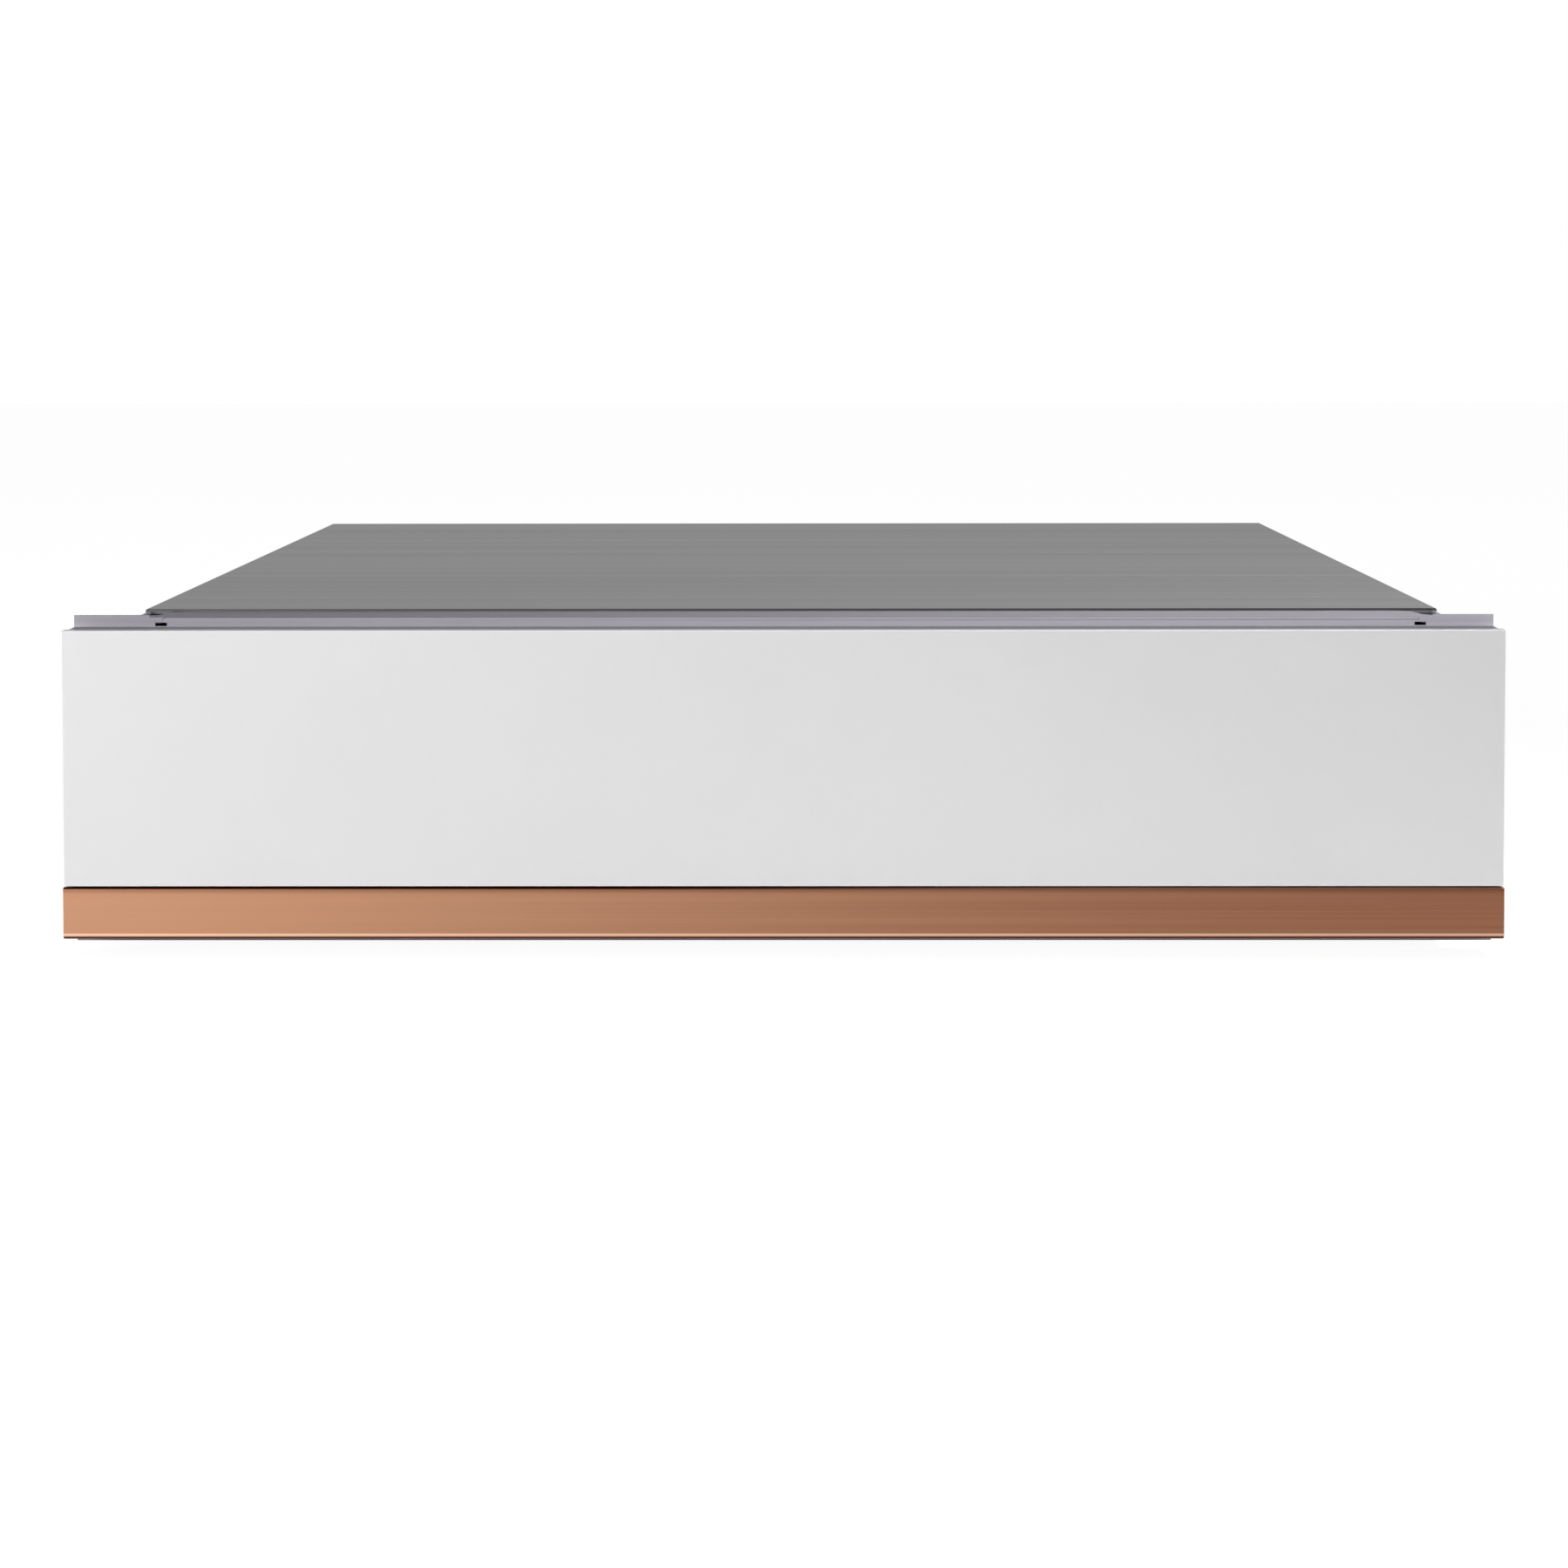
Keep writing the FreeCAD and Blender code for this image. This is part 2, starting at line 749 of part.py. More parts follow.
def seal_cylinders():
    """Two cylinders that stand in the chamber and guide the sealing bar's pistons."""
    made = []
    for side in (-1, 1):
        foot = Vector(side * piston_offset, seal_bar_y, chamber_floor)
        outer = rod(piston_radius + cylinder_wall, foot, Z_AXIS, cylinder_height)
        stub_length = chamber_floor - cylinder_foot()
        stub = rod(piston_radius, foot, Vector(0, 0, -1), stub_length)
        bore_start = foot + Z_AXIS * cylinder_wall
        bore = rod(piston_radius, bore_start, Z_AXIS, cylinder_height)
        made.append(fused([outer, stub]).cut(bore))
    return group(made)


def cylinder_foot():
    """Height of the underside of the cylinders' stubs, above the drawer's floor."""
    return drawer_floor + pipe_radius / 2


def lid_glass():
    """Clear glass lid."""
    plate = rounded_block((-lid_half, lid_half), (lid_front_y, lid_rear_y), (lid_bottom, lid_top), lid_corner)
    rims = edges_at_height(plate, lid_top) + edges_at_height(plate, lid_bottom)
    return plate.makeChamfer(glass_arris, rims)


def edge_profile(glass_edge, inward, length):
    """C-shaped profile over an edge of the lid; inward is plus or minus one along Y."""
    outer = glass_edge - inward * clamp_sheet
    top = block((-length / 2, length / 2), sorted((outer, glass_edge + inward * clamp_grip)),
                (lid_top, lid_top + clamp_sheet))
    wall = block((-length / 2, length / 2), sorted((outer, glass_edge)),
                 (lid_bottom - clamp_sheet, lid_top + clamp_sheet))
    under = block((-length / 2, length / 2), sorted((outer, glass_edge + inward * lid_overhang * 0.6)),
                  (lid_bottom - clamp_sheet, lid_bottom))
    return fused([top, wall, under])


def lid_clamp_rail():
    """Profile along the lid's rear edge, with the two hinge barrels."""
    rail = edge_profile(lid_rear_y, -1, 2 * (lid_half - lid_corner))
    pieces = [rail]
    bores = []
    for side in (-1, 1):
        x = around(side * hinge_offset, hinge_barrel_length)
        start = Vector(x[0], hinge_y, hinge_z)
        pieces.append(rod(hinge_barrel_radius, start, X_AXIS, hinge_barrel_length))
        pieces.append(block(x, (lid_rear_y + clamp_sheet / 2, hinge_y),
                            (hinge_z - clamp_sheet, hinge_z + hinge_barrel_radius - 0.4)))
        bores.append(rod(hinge_pin_radius + hinge_clearance, start - X_AXIS, X_AXIS, hinge_barrel_length + 2))
    return fused(pieces).cut(bores)


def lid_handle():
    """Profile along the lid's front edge, to lift it by."""
    return edge_profile(lid_front_y, 1, 2 * (lid_half - lid_corner))


def hinge_ear_limits(side):
    """Inner and outer faces of the two ears of one hinge, along X."""
    inner = hinge_barrel_length / 2 + hinge_ear_gap
    centre = side * hinge_offset
    return ((centre - inner - hinge_ear, centre - inner), (centre + inner, centre + inner + hinge_ear))


def hinge_brackets():
    """Two brackets on the deck that hold the hinge pins."""
    made = []
    for side in (-1, 1):
        ears = hinge_ear_limits(side)
        base_top = hinge_z - hinge_barrel_radius - hinge_ear_gap * 2
        pieces = [block((ears[0][0], ears[1][1]), around(hinge_y, 2 * hinge_ear_radius), (deck_top, base_top))]
        for ear in ears:
            pieces.append(block(ear, around(hinge_y, 2 * hinge_ear_radius), (deck_top, hinge_z)))
            pieces.append(rod(hinge_ear_radius, Vector(ear[0], hinge_y, hinge_z), X_AXIS, hinge_ear))
        bore = rod(hinge_pin_radius, Vector(ears[0][0] - 1, hinge_y, hinge_z), X_AXIS,
                   ears[1][1] - ears[0][0] + 2)
        made.append(fused(pieces).cut(bore))
    return group(made)


def hinge_pins():
    """Pins through the barrels, fixed in the ears."""
    made = []
    for side in (-1, 1):
        ears = hinge_ear_limits(side)
        made.append(rod(hinge_pin_radius, Vector(ears[0][0], hinge_y, hinge_z), X_AXIS,
                        ears[1][1] - ears[0][0]))
    return group(made)


def hinge_dampers():
    """Damper cartridges on the outer ears, which hold the lid where it is left."""
    made = []
    for side in (-1, 1):
        ears = hinge_ear_limits(side)
        face = ears[1][1] if side > 0 else ears[0][0]
        body = rod(damper_radius, Vector(face, hinge_y, hinge_z), Vector(side, 0, 0), damper_length)
        end = max(body.Edges, key=lambda edge: abs(edge.CenterOfMass.x))
        made.append(body.makeChamfer(1.0, [end]))
    return group(made)


def counter_bar():
    """Silicone bar under the lid that the sealing bar presses the bag against."""
    bar = block(around(0, seal_bar_length), around(seal_bar_y, counter_bar_width),
                (lid_bottom - counter_bar_height, lid_bottom))
    return bar.makeChamfer(1.0, edges_at_height(bar, lid_bottom - counter_bar_height))


def seal_bar():
    """Aluminium sealing bar across the front of the chamber."""
    return block(around(0, seal_bar_length), around(seal_bar_y, seal_bar_width),
                 (seal_bar_bottom, seal_bar_top - strip_thickness))


def heating_strip():
    """Heating wire band on top of the sealing bar."""
    return block(around(0, seal_bar_length), around(seal_bar_y, strip_width),
                 (seal_bar_top - strip_thickness, seal_bar_top))


def seal_pistons():
    """Two pistons that carry the sealing bar in the cylinders."""
    radius = piston_radius - piston_clearance
    bottom = chamber_floor + cylinder_height - piston_engagement
    return both_sides(rod(radius, Vector(piston_offset, seal_bar_y, bottom), Z_AXIS,
                          seal_bar_bottom - bottom))


def control_panel():
    """Black glass touch panel on the deck, in front of the lid."""
    return rounded_block(around(0, panel_width), panel_y, (deck_top, deck_top + panel_thickness), panel_corner)


def control_board():
    """Circuit board under the deck, hung from it by four posts."""
    x = around(0, panel_width - 2 * board_margin)
    top = deck_under - board_drop
    y = (panel_y[0] + board_margin, panel_y[1] - board_margin / 2)
    pieces = [block(x, y, (top - board_thickness, top))]
    for post_x in (x[0] + board_margin, x[1] - board_margin):
        for post_y in (y[0] + post_radius, y[1] - post_radius):
            pieces.append(rod(post_radius, Vector(post_x, post_y, top), Z_AXIS, board_drop))
    return fused(pieces)


def vacuum_pump():
    """Two-cylinder pump: crankcase and two heads."""
    x = (pump_left, motor_left)
    y = around(pump_y, pump_length)
    top = pump_bottom + pump_height
    case = rounded_block(x, y, (pump_bottom, top), 6.0)
    head_length = (pump_length - 3 * pump_head_gap) / 2
    pieces = [case]
    for side in (-1, 1):
        middle = pump_y + side * (head_length + pump_head_gap) / 2
        pieces.append(block((x[0] + pump_head_gap, x[1] - pump_head_gap), around(middle, head_length),
                            (top, top + pump_head_height)))
    return fused(pieces)


def pump_motor():
    """Motor can on the pump's right side, with its shaft end."""
    start = Vector(motor_left, pump_y, motor_z)
    can = rod(motor_radius, start, X_AXIS, motor_length)
    can = can.makeChamfer(3.0, [max(can.Edges, key=lambda edge: edge.CenterOfMass.x)])
    shaft = rod(motor_shaft_radius, start, X_AXIS, motor_length + pump_fan_gap + pump_fan_width + 2)
    return fused([can, shaft])


def pump_bracket():
    """Plate under the pump, with two saddles for the motor can."""
    x = (pump_left - plate_margin, motor_right)
    plate = block(x, around(pump_y, pump_length + 2 * plate_margin),
                  (pump_bottom - plate_thickness, pump_bottom))
    pieces = [plate]
    for share in (0.25, 0.75):
        middle = motor_left + share * motor_length
        pieces.append(block(around(middle, saddle_width), around(pump_y, motor_radius * 1.2),
                            (pump_bottom, pump_bottom + motor_radius * 0.3)))
    can = rod(motor_radius, Vector(motor_left, pump_y, motor_z), X_AXIS, motor_length)
    return fused(pieces).cut(can)


def pump_dampers():
    """Four rubber feet between the pump's plate and the drawer's floor."""
    feet = []
    for x in (pump_left + damper_foot_inset, motor_right - damper_foot_inset):
        for side in (-1, 1):
            y = pump_y + side * (pump_length / 2 - damper_foot_radius)
            feet.append(rod(damper_foot_radius, Vector(x, y, drawer_floor), Z_AXIS, damper_foot_height))
    return group(feet)


def fan_wheel(hub, tip, width, blades, blade, bore):
    """Axial fan wheel about Z, standing on Z zero."""
    pieces = [rod(hub, ORIGIN, Z_AXIS, width)]
    for index in range(blades):
        paddle = block((hub * 0.8, tip - 0.5), around(0, blade), (width * 0.1, width * 0.9))
        paddle.rotate(Vector(hub, 0, width / 2), X_AXIS, 30)
        paddle = paddle.common(block((0, tip), (-tip, tip), (0, width)))
        paddle.rotate(ORIGIN, Z_AXIS, 360 * index / blades)
        pieces.append(paddle)
    return fused(pieces).cut(rod(bore, Vector(0, 0, -1), Z_AXIS, width + 2))


def pump_fan():
    """Cooling fan on the motor's shaft."""
    wheel = fan_wheel(pump_fan_hub, pump_fan_radius, pump_fan_width, pump_fan_blades, fan_blade,
                      motor_shaft_radius + fan_clearance)
    wheel.rotate(ORIGIN, Y_AXIS, 90)
    wheel.translate(Vector(motor_right + pump_fan_gap, pump_y, motor_z))
    return wheel


def muffler():
    """Exhaust silencer screwed into the pump's left side."""
    z = pump_bottom + pump_height - muffler_radius * 1.2
    y = pump_y + pump_length / 2 - muffler_radius * 1.2
    body = rod(muffler_radius, Vector(pump_left, y, z), Vector(-1, 0, 0), muffler_length)
    return body.makeChamfer(2.0, [min(body.Edges, key=lambda edge: edge.CenterOfMass.x)])


def valve_block():
    """Aluminium manifold on the drawer's floor."""
    return block((valve_left, valve_right), around(pump_y, valve_length), (drawer_floor, valve_top))


def solenoid_valves():
    """Two valve coils on the manifold."""
    made = []
    for share in (0.2, 0.56):
        centre = Vector(valve_left + share * valve_width, pump_y, valve_top)
        made.append(fused([rod(coil_radius, centre, Z_AXIS, coil_height),
                           rod(coil_radius * 0.4, centre, Z_AXIS, coil_height + 3)]))
    return group(made)


def pipe_route(points):
    """Straight runs joined by tangent arcs through a list of corners."""
    edges = []
    start = points[0]
    for before, corner, after in zip(points, points[1:], points[2:]):
        back = (before - corner).normalize()
        ahead = (after - corner).normalize()
        turn = math.pi - back.getAngle(ahead)
        shorter = min((before - corner).Length, (after - corner).Length)
        setback = 0.45 * shorter
        radius = setback / math.tan(turn / 2)
        leave = corner + back * setback
        join = corner + ahead * setback
        middle = (back + ahead).normalize()
        top = corner + middle * (radius / math.cos(turn / 2) - radius)
        edges.append(Part.LineSegment(start, leave).toShape())
        edges.append(Part.Arc(leave, top, join).toShape())
        start = join
    edges.append(Part.LineSegment(start, points[-1]).toShape())
    return Part.Wire(edges)


def pipe(points, radius, bore):
    """A hose with its bore along a route."""
    route = pipe_route(points)
    direction = points[1] - points[0]
    made = []
    for size in (radius, bore):
        ring = Part.Wire(Part.Circle(points[0], direction, size).toShape())
        made.append(route.makePipeShell([ring], True, False))
    return made[0].cut(made[1])


def vacuum_hoses():
    """Hoses from the chamber to the valves, to the pump and to the sealing cylinders."""
    port = Vector(-port_offset, chamber_rear_y + chamber_sheet + port_length, rim_top - filter_drop)
    down_y = pump_y - valve_length / 4
    suction = pipe([port, Vector(port.x, (port.y + down_y) / 2, port.z),
                    Vector(port.x, down_y, (port.z + valve_top) / 2 + hose_radius),
                    Vector(port.x, down_y, valve_top)], hose_radius, hose_bore)
    pump_z = pump_bottom + hose_radius * 2
    to_pump = pipe([Vector(valve_right, pump_y, pump_z), Vector(pump_left, pump_y, pump_z)],
                   hose_radius, hose_bore)
    z = cylinder_foot() + pipe_radius
    side_x = valve_left - pipe_side_gap
    left = -piston_offset - piston_radius
    air = pipe([Vector(valve_left, pump_y, z), Vector(side_x, pump_y, z),
                Vector(side_x - pipe_side_gap, pump_y - 2 * pipe_side_gap, z),
                Vector(side_x - pipe_side_gap, seal_bar_y + 2 * pipe_side_gap, z),
                Vector(left - 1.2 * pipe_side_gap, seal_bar_y, z), Vector(left, seal_bar_y, z)],
               pipe_radius, pipe_bore)
    link = pipe([Vector(-piston_offset + piston_radius, seal_bar_y, z),
                 Vector(piston_offset - piston_radius, seal_bar_y, z)], pipe_radius, pipe_bore)
    return group([suction, to_pump, air, link])


def transformer():
    """Sealing transformer: laminated core and its winding, on the drawer's floor."""
    x = (-drawer_inner + board_side_gap, -drawer_inner + board_side_gap + transformer_width)
    core = block(x, around(transformer_middle, transformer_length - 2 * coil_overhang),
                 (drawer_floor, drawer_floor + transformer_height))
    coil = rounded_block((x[0] + coil_overhang, x[1] - coil_overhang),
                         around(transformer_middle, transformer_length),
                         (drawer_floor + coil_overhang, drawer_floor + transformer_height - coil_overhang), 5.0)
    return fused([core, coil])


def power_board():
    """Power circuit board on stand-offs, with its capacitors and relays."""
    x = (drawer_inner - board_side_gap - power_board_width, drawer_inner - board_side_gap)
    y = around(power_board_middle, power_board_length)
    bottom = drawer_floor + standoff_height
    top = bottom + board_thickness
    pieces = [block(x, y, (bottom, top))]
    for post_x in (x[0] + board_margin, x[1] - board_margin):
        for post_y in (y[0] + board_margin, y[1] - board_margin):
            pieces.append(rod(post_radius, Vector(post_x, post_y, drawer_floor), Z_AXIS, standoff_height))
    middle_x = (x[0] + x[1]) / 2
    for share in (0.2, 0.35):
        centre = Vector(middle_x, y[0] + share * power_board_length, top)
        pieces.append(rod(capacitor_radius, centre, Z_AXIS, capacitor_height))
    for share in (0.55, 0.7, 0.85):
        pieces.append(block(around(middle_x, capacitor_radius * 3),
                            around(y[0] + share * power_board_length, capacitor_radius * 1.8),
                            (top, top + capacitor_height * 0.6)))
    return fused(pieces)


def fan_z():
    """Height of the cooling fan's axis."""
    return drawer_floor + fan_floor_gap + fan_size / 2


def cooling_fan_frame():
    """Square fan frame on the drawer's rear wall, with its spokes and shaft."""
    front_of_frame = drawer_back_inner_y - fan_depth
    centre = Vector(-fan_offset, front_of_frame, fan_z())
    frame = block(around(centre.x, fan_size), (front_of_frame, drawer_back_inner_y), around(centre.z, fan_size))
    frame = frame.cut(rod(fan_bore, centre - Y_AXIS, Y_AXIS, fan_depth + 2))
    spokes_y = (drawer_back_inner_y - fan_spoke, drawer_back_inner_y)
    pieces = [frame]
    pieces.append(block(around(centre.x, 2 * fan_bore + 2), spokes_y, around(centre.z, fan_spoke)))
    pieces.append(block(around(centre.x, fan_spoke), spokes_y, around(centre.z, 2 * fan_bore + 2)))
    pieces.append(rod(fan_hub * 0.8, Vector(centre.x, spokes_y[0], centre.z), Y_AXIS, fan_spoke))
    pieces.append(rod(fan_shaft_radius, centre, Y_AXIS, fan_depth))
    foot = block(around(centre.x, fan_size), (front_of_frame, drawer_back_inner_y),
                 (drawer_floor, drawer_floor + fan_floor_gap))
    return fused(pieces + [foot])


def cooling_fan_rotor():
    """Fan wheel on the frame's shaft."""
    width = fan_depth - fan_spoke - 2 * fan_tip_gap
    wheel = fan_wheel(fan_hub, fan_bore - fan_tip_gap, width, fan_blades, fan_blade,
                      fan_shaft_radius + fan_clearance)
    wheel.rotate(ORIGIN, X_AXIS, -90)
    wheel.translate(Vector(-fan_offset, drawer_back_inner_y - fan_depth + fan_tip_gap, fan_z()))
    return wheel


def strike_plate():
    """Plate on the drawer's rear wall that meets the latch."""
    return block(around(latch_offset, strike_width), (drawer_rear_y, drawer_rear_y + strike_sheet),
                 around(latch_centre, strike_height))


def plunger_tip_y():
    """Front end of the latch's plunger, clear of the strike plate when the door is pushed."""
    return drawer_rear_y + strike_sheet + push_travel + plunger_gap


def latch_front_y():
    """Front face of the latch body."""
    return plunger_tip_y() + plunger_travel + plunger_gap * 3


def push_latch_housing():
    """Latch body on the housing's floor, behind the drawer."""
    y = (latch_front_y(), latch_front_y() + latch_depth)
    body = block(around(latch_offset, latch_width), y, (tray_floor, latch_centre + latch_cap))
    bore = rod(plunger_radius + latch_bore_gap, Vector(latch_offset, y[0] - 1, latch_centre), Y_AXIS,
               plunger_tip_y() + plunger_length + plunger_travel + 1.5 - y[0])
    return body.cut(bore)


def push_latch_plunger():
    """Sprung plunger of the push-to-open latch."""
    body = rod(plunger_radius, Vector(latch_offset, plunger_tip_y(), latch_centre), Y_AXIS, plunger_length)
    tip = min(body.Edges, key=lambda edge: edge.CenterOfMass.y)
    return body.makeFillet(1.5, [tip])


def mains_inlet():
    """Socket for the supply lead, in the rear panel."""
    flange = block(around(inlet_offset, inlet_flange_width), (panel_rear_y, rear_y),
                   around(inlet_centre, inlet_flange_height))
    body_y = (panel_inner_y - inlet_depth, rear_y)
    body = block(around(inlet_offset, inlet_width), body_y, around(inlet_centre, inlet_height))
    recess = block(around(inlet_offset, inlet_width - 2 * inlet_wall),
                   (body_y[0] + inlet_wall, rear_y + 1), around(inlet_centre, inlet_height - 2 * inlet_wall))
    socket = fused([flange, body]).cut(recess)
    pins = []
    for index in (-1, 0, 1):
        x = around(inlet_offset + index * inlet_pin_pitch, inlet_pin_width)
        lift = inlet_pin_width if index == 0 else -inlet_pin_width
        pins.append(block(x, (body_y[0] + inlet_wall / 2, body_y[0] + inlet_wall + inlet_pin_length),
                          around(inlet_centre + lift, inlet_pin_width * 2)))
    return fused([socket] + pins)


def terminal_box():
    """Mains filter and terminals on the housing's floor, behind the drawer."""
    y = (panel_inner_y - terminal_depth, panel_inner_y)
    return rounded_block(around(terminal_offset, terminal_width), y, (tray_floor, tray_floor + terminal_height), 3.0)


def front_glass():
    """Back-painted glass front."""
    half = front_half - glass_inset
    bottom = front_bottom + trim_height + trim_gap
    plate = block((front_x - half, front_x + half), (front_y, front_y + glass_thickness), (bottom, front_top))
    rims = [edge for edge in plate.Edges
            if edge.BoundBox.YLength < 0.01 and edge.BoundBox.YMin < front_y + 0.01]
    return plate.makeChamfer(glass_arris, rims)


def tape_y():
    """Limits of the adhesive tape between the glass and its carrier."""
    return (front_y + glass_thickness, front_y + glass_thickness + tape_thickness)


def door_tape():
    """Strips of adhesive tape behind the glass."""
    half = front_half - glass_inset - carrier_inset
    bottom = front_bottom + trim_height + trim_gap
    strip = glass_height * 0.15
    strips = []
    for low in (bottom + strip * 0.2, front_top - strip * 1.2):
        strips.append(block((front_x - half, front_x + half), tape_y(), (low, low + strip)))
    return group(strips)


def door_carrier():
    """Steel pan behind the glass."""
    half = front_half - glass_inset - carrier_inset
    y = (tape_y()[1], door_back_y - door_sheet)
    z = (front_bottom + trim_wall, front_top - carrier_inset)
    pan = block((front_x - half, front_x + half), y, z)
    hollow = block((front_x - half + door_sheet, front_x + half - door_sheet),
                   (y[0] + door_sheet, y[1]), (z[0] + door_sheet, z[1] - door_sheet))
    return pan.cut(hollow)


def door_inner_panel():
    """Sheet that closes the back of the door."""
    half = front_half - glass_inset - carrier_inset
    sheet = block((front_x - half, front_x + half), (door_back_y - door_sheet, door_back_y),
                  (front_bottom + trim_wall, front_top - carrier_inset))
    return drilled(sheet, door_screw_places())


def copper_trim():
    """Extruded strip under the glass: front, top lip and the foot that carries the door."""
    x = (front_x - front_half, front_x + front_half)
    front = block(x, (front_y, front_y + trim_front), (front_bottom, front_bottom + trim_height))
    rims = [edge for edge in front.Edges
            if edge.BoundBox.YLength < 0.01 and edge.BoundBox.YMin < front_y + 0.01]
    front = front.makeFillet(trim_edge, rims)
    back = front_y + trim_front
    lip = block(x, (back - trim_edge, tape_y()[1]),
                (front_bottom + trim_height - trim_wall - trim_edge, front_bottom + trim_height - trim_edge))
    foot = block(x, (back - trim_edge, door_back_y), (front_bottom, front_bottom + trim_wall))
    return fused([front, lip, foot])


def door_bumpers():
    """Four rubber pads between the door and the frame."""
    thickness = push_gap - push_travel - bumper_clearance
    pads = []
    for side in (-1, 1):
        x = front_x + side * (front_half - bumper_edge)
        for z in (front_bottom + bumper_edge * 1.2, front_top - bumper_edge * 1.2):
            pads.append(rod(bumper_radius, Vector(x, door_back_y, z), Y_AXIS, thickness))
    return group(pads)


def housing_screws():
    """Screws of the cover, the frame, the outer rails and the rear panel."""
    return screws(cover_screw_places() + rail_screw_places() + frame_screw_places() + rear_screw_places())


def drawer_screws():
    """Screws of the door, the inner rails and the deck."""
    return screws(drawer_screw_places() + door_screw_places() + deck_screw_places())


def export_node(name, shape):
    """Write one sub-part, moved to its place in the frame of the whole appliance."""
    placed = shape.copy()
    placed.translate(Vector(body_shift, 0, 0))
    placed.exportStep("parts/" + name + ".step")


def left_and_right(name, shape):
    """Write a right-hand piece and its mirror image as two sub-parts."""
    export_node(name + "_right", shape)
    export_node(name + "_left", mirrored(shape))


PIECES = (
    base_tray, rubber_feet, rear_panel, top_cover, front_frame, housing_screws, mains_inlet,
    terminal_box, push_latch_housing, push_latch_plunger, drawer_tray, deck_plate, rear_deck_cover,
    chamber_tub, lid_seal, suction_filter, seal_cylinders, seal_pistons, seal_bar, heating_strip,
    lid_glass, lid_clamp_rail, lid_handle, counter_bar, hinge_brackets, hinge_pins, hinge_dampers,
    control_panel, control_board, vacuum_pump, pump_motor, pump_bracket, pump_dampers, pump_fan,
    muffler, valve_block, solenoid_valves, vacuum_hoses, transformer, power_board,
    cooling_fan_frame, cooling_fan_rotor, strike_plate, front_glass, door_tape, door_carrier,
    door_inner_panel, copper_trim, door_bumpers, drawer_screws,
)
PAIRS = (rail_outer, rail_mid, rail_inner, ball_cage_outer, ball_cage_inner)

os.makedirs("parts", exist_ok=True)
for piece in PIECES:
    export_node(piece.__name__, piece())
for piece in PAIRS:
    left_and_right(piece.__name__, piece())
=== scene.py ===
"""Looks of a built-in vacuum sealing drawer, dressed over its packed construction model.

Lengths are in metres, X runs to the right, the front faces minus Y and Z is up.
"""
from __future__ import annotations

import logging
import math
from dataclasses import dataclass
from enum import Enum
from functools import cache
from typing import Callable, Iterable, Sequence

import bmesh
import bpy
from mathutils import Matrix, Vector

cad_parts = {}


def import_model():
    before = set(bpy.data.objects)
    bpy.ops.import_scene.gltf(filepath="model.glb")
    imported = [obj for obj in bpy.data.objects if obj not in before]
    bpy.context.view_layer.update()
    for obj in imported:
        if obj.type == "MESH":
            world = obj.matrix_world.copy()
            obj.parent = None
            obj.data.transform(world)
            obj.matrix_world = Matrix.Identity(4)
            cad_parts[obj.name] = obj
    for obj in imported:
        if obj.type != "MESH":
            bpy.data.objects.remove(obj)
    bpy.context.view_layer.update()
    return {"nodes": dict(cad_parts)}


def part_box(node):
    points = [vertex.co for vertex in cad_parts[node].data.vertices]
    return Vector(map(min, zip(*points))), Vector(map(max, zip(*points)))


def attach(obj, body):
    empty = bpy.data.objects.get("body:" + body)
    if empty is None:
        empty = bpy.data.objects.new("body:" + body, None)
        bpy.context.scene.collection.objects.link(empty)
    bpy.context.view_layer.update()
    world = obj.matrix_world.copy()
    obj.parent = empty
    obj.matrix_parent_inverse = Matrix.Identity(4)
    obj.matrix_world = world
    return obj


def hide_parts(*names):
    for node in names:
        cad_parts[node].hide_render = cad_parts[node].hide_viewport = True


LOG = logging.getLogger("vacuum_drawer")
MM = 0.001

Colour = tuple[float, float, float]
Place = tuple[float, float, float]
Seat = tuple[Sequence[float], Sequence[float]]
Corner = tuple[float, float]
Outline = Sequence[Corner]
Mesh = bpy.types.Mesh
Shape = bmesh.types.BMesh

UP: Place = (0.0, 0.0, 1.0)
# The scale of noise that runs in long streaks along X.
BRUSHING: Place = (2.5, 900.0, 900.0)


class Side(Enum):
    """Left or right, seen from the front."""

    LEFT = -1
    RIGHT = 1


def maths(operation: str, swapped: bool = False) -> Callable[[Value, Value | float], Value]:
    """A Python operator that adds a Math node.

    Args:
        operation: The node's operation.
        swapped: Whether the other number comes first.

    Returns:
        The method for a value.
    """
    def apply(value: Value, other: Value | float) -> Value:
        first, second = (other, value) if swapped else (value, other)
        return value.graph.value("ShaderNodeMath", {"operation": operation}, {0: first, 1: second})
    return apply


class Value:
    """A number in a node tree, to be used in a Python expression."""

    __add__, __radd__ = maths("ADD"), maths("ADD", True)
    __sub__, __rsub__ = maths("SUBTRACT"), maths("SUBTRACT", True)
    __mul__, __rmul__ = maths("MULTIPLY"), maths("MULTIPLY", True)
    __truediv__ = maths("DIVIDE")

    def __init__(self, graph: Graph, socket: bpy.types.NodeSocket) -> None:
        """Hold one output socket.

        Args:
            graph: The tree that the socket belongs to.
            socket: The output socket.
        """
        self.graph = graph
        self.socket = socket

    def absolute(self) -> Value:
        """This value without its sign."""
        return maths("ABSOLUTE")(self, 0.0)

    def above(self, edge: float) -> Value:
        """One where this value is over an edge, else nought."""
        return maths("GREATER_THAN")(self, edge)

    def ramp(self, low: float, high: float) -> Value:
        """Nought at low, one at high and smooth between."""
        settings = {"interpolation_type": "SMOOTHSTEP", "clamp": True}
        return self.graph.value("ShaderNodeMapRange", settings,
                                {"Value": self, "From Min": low, "From Max": high})


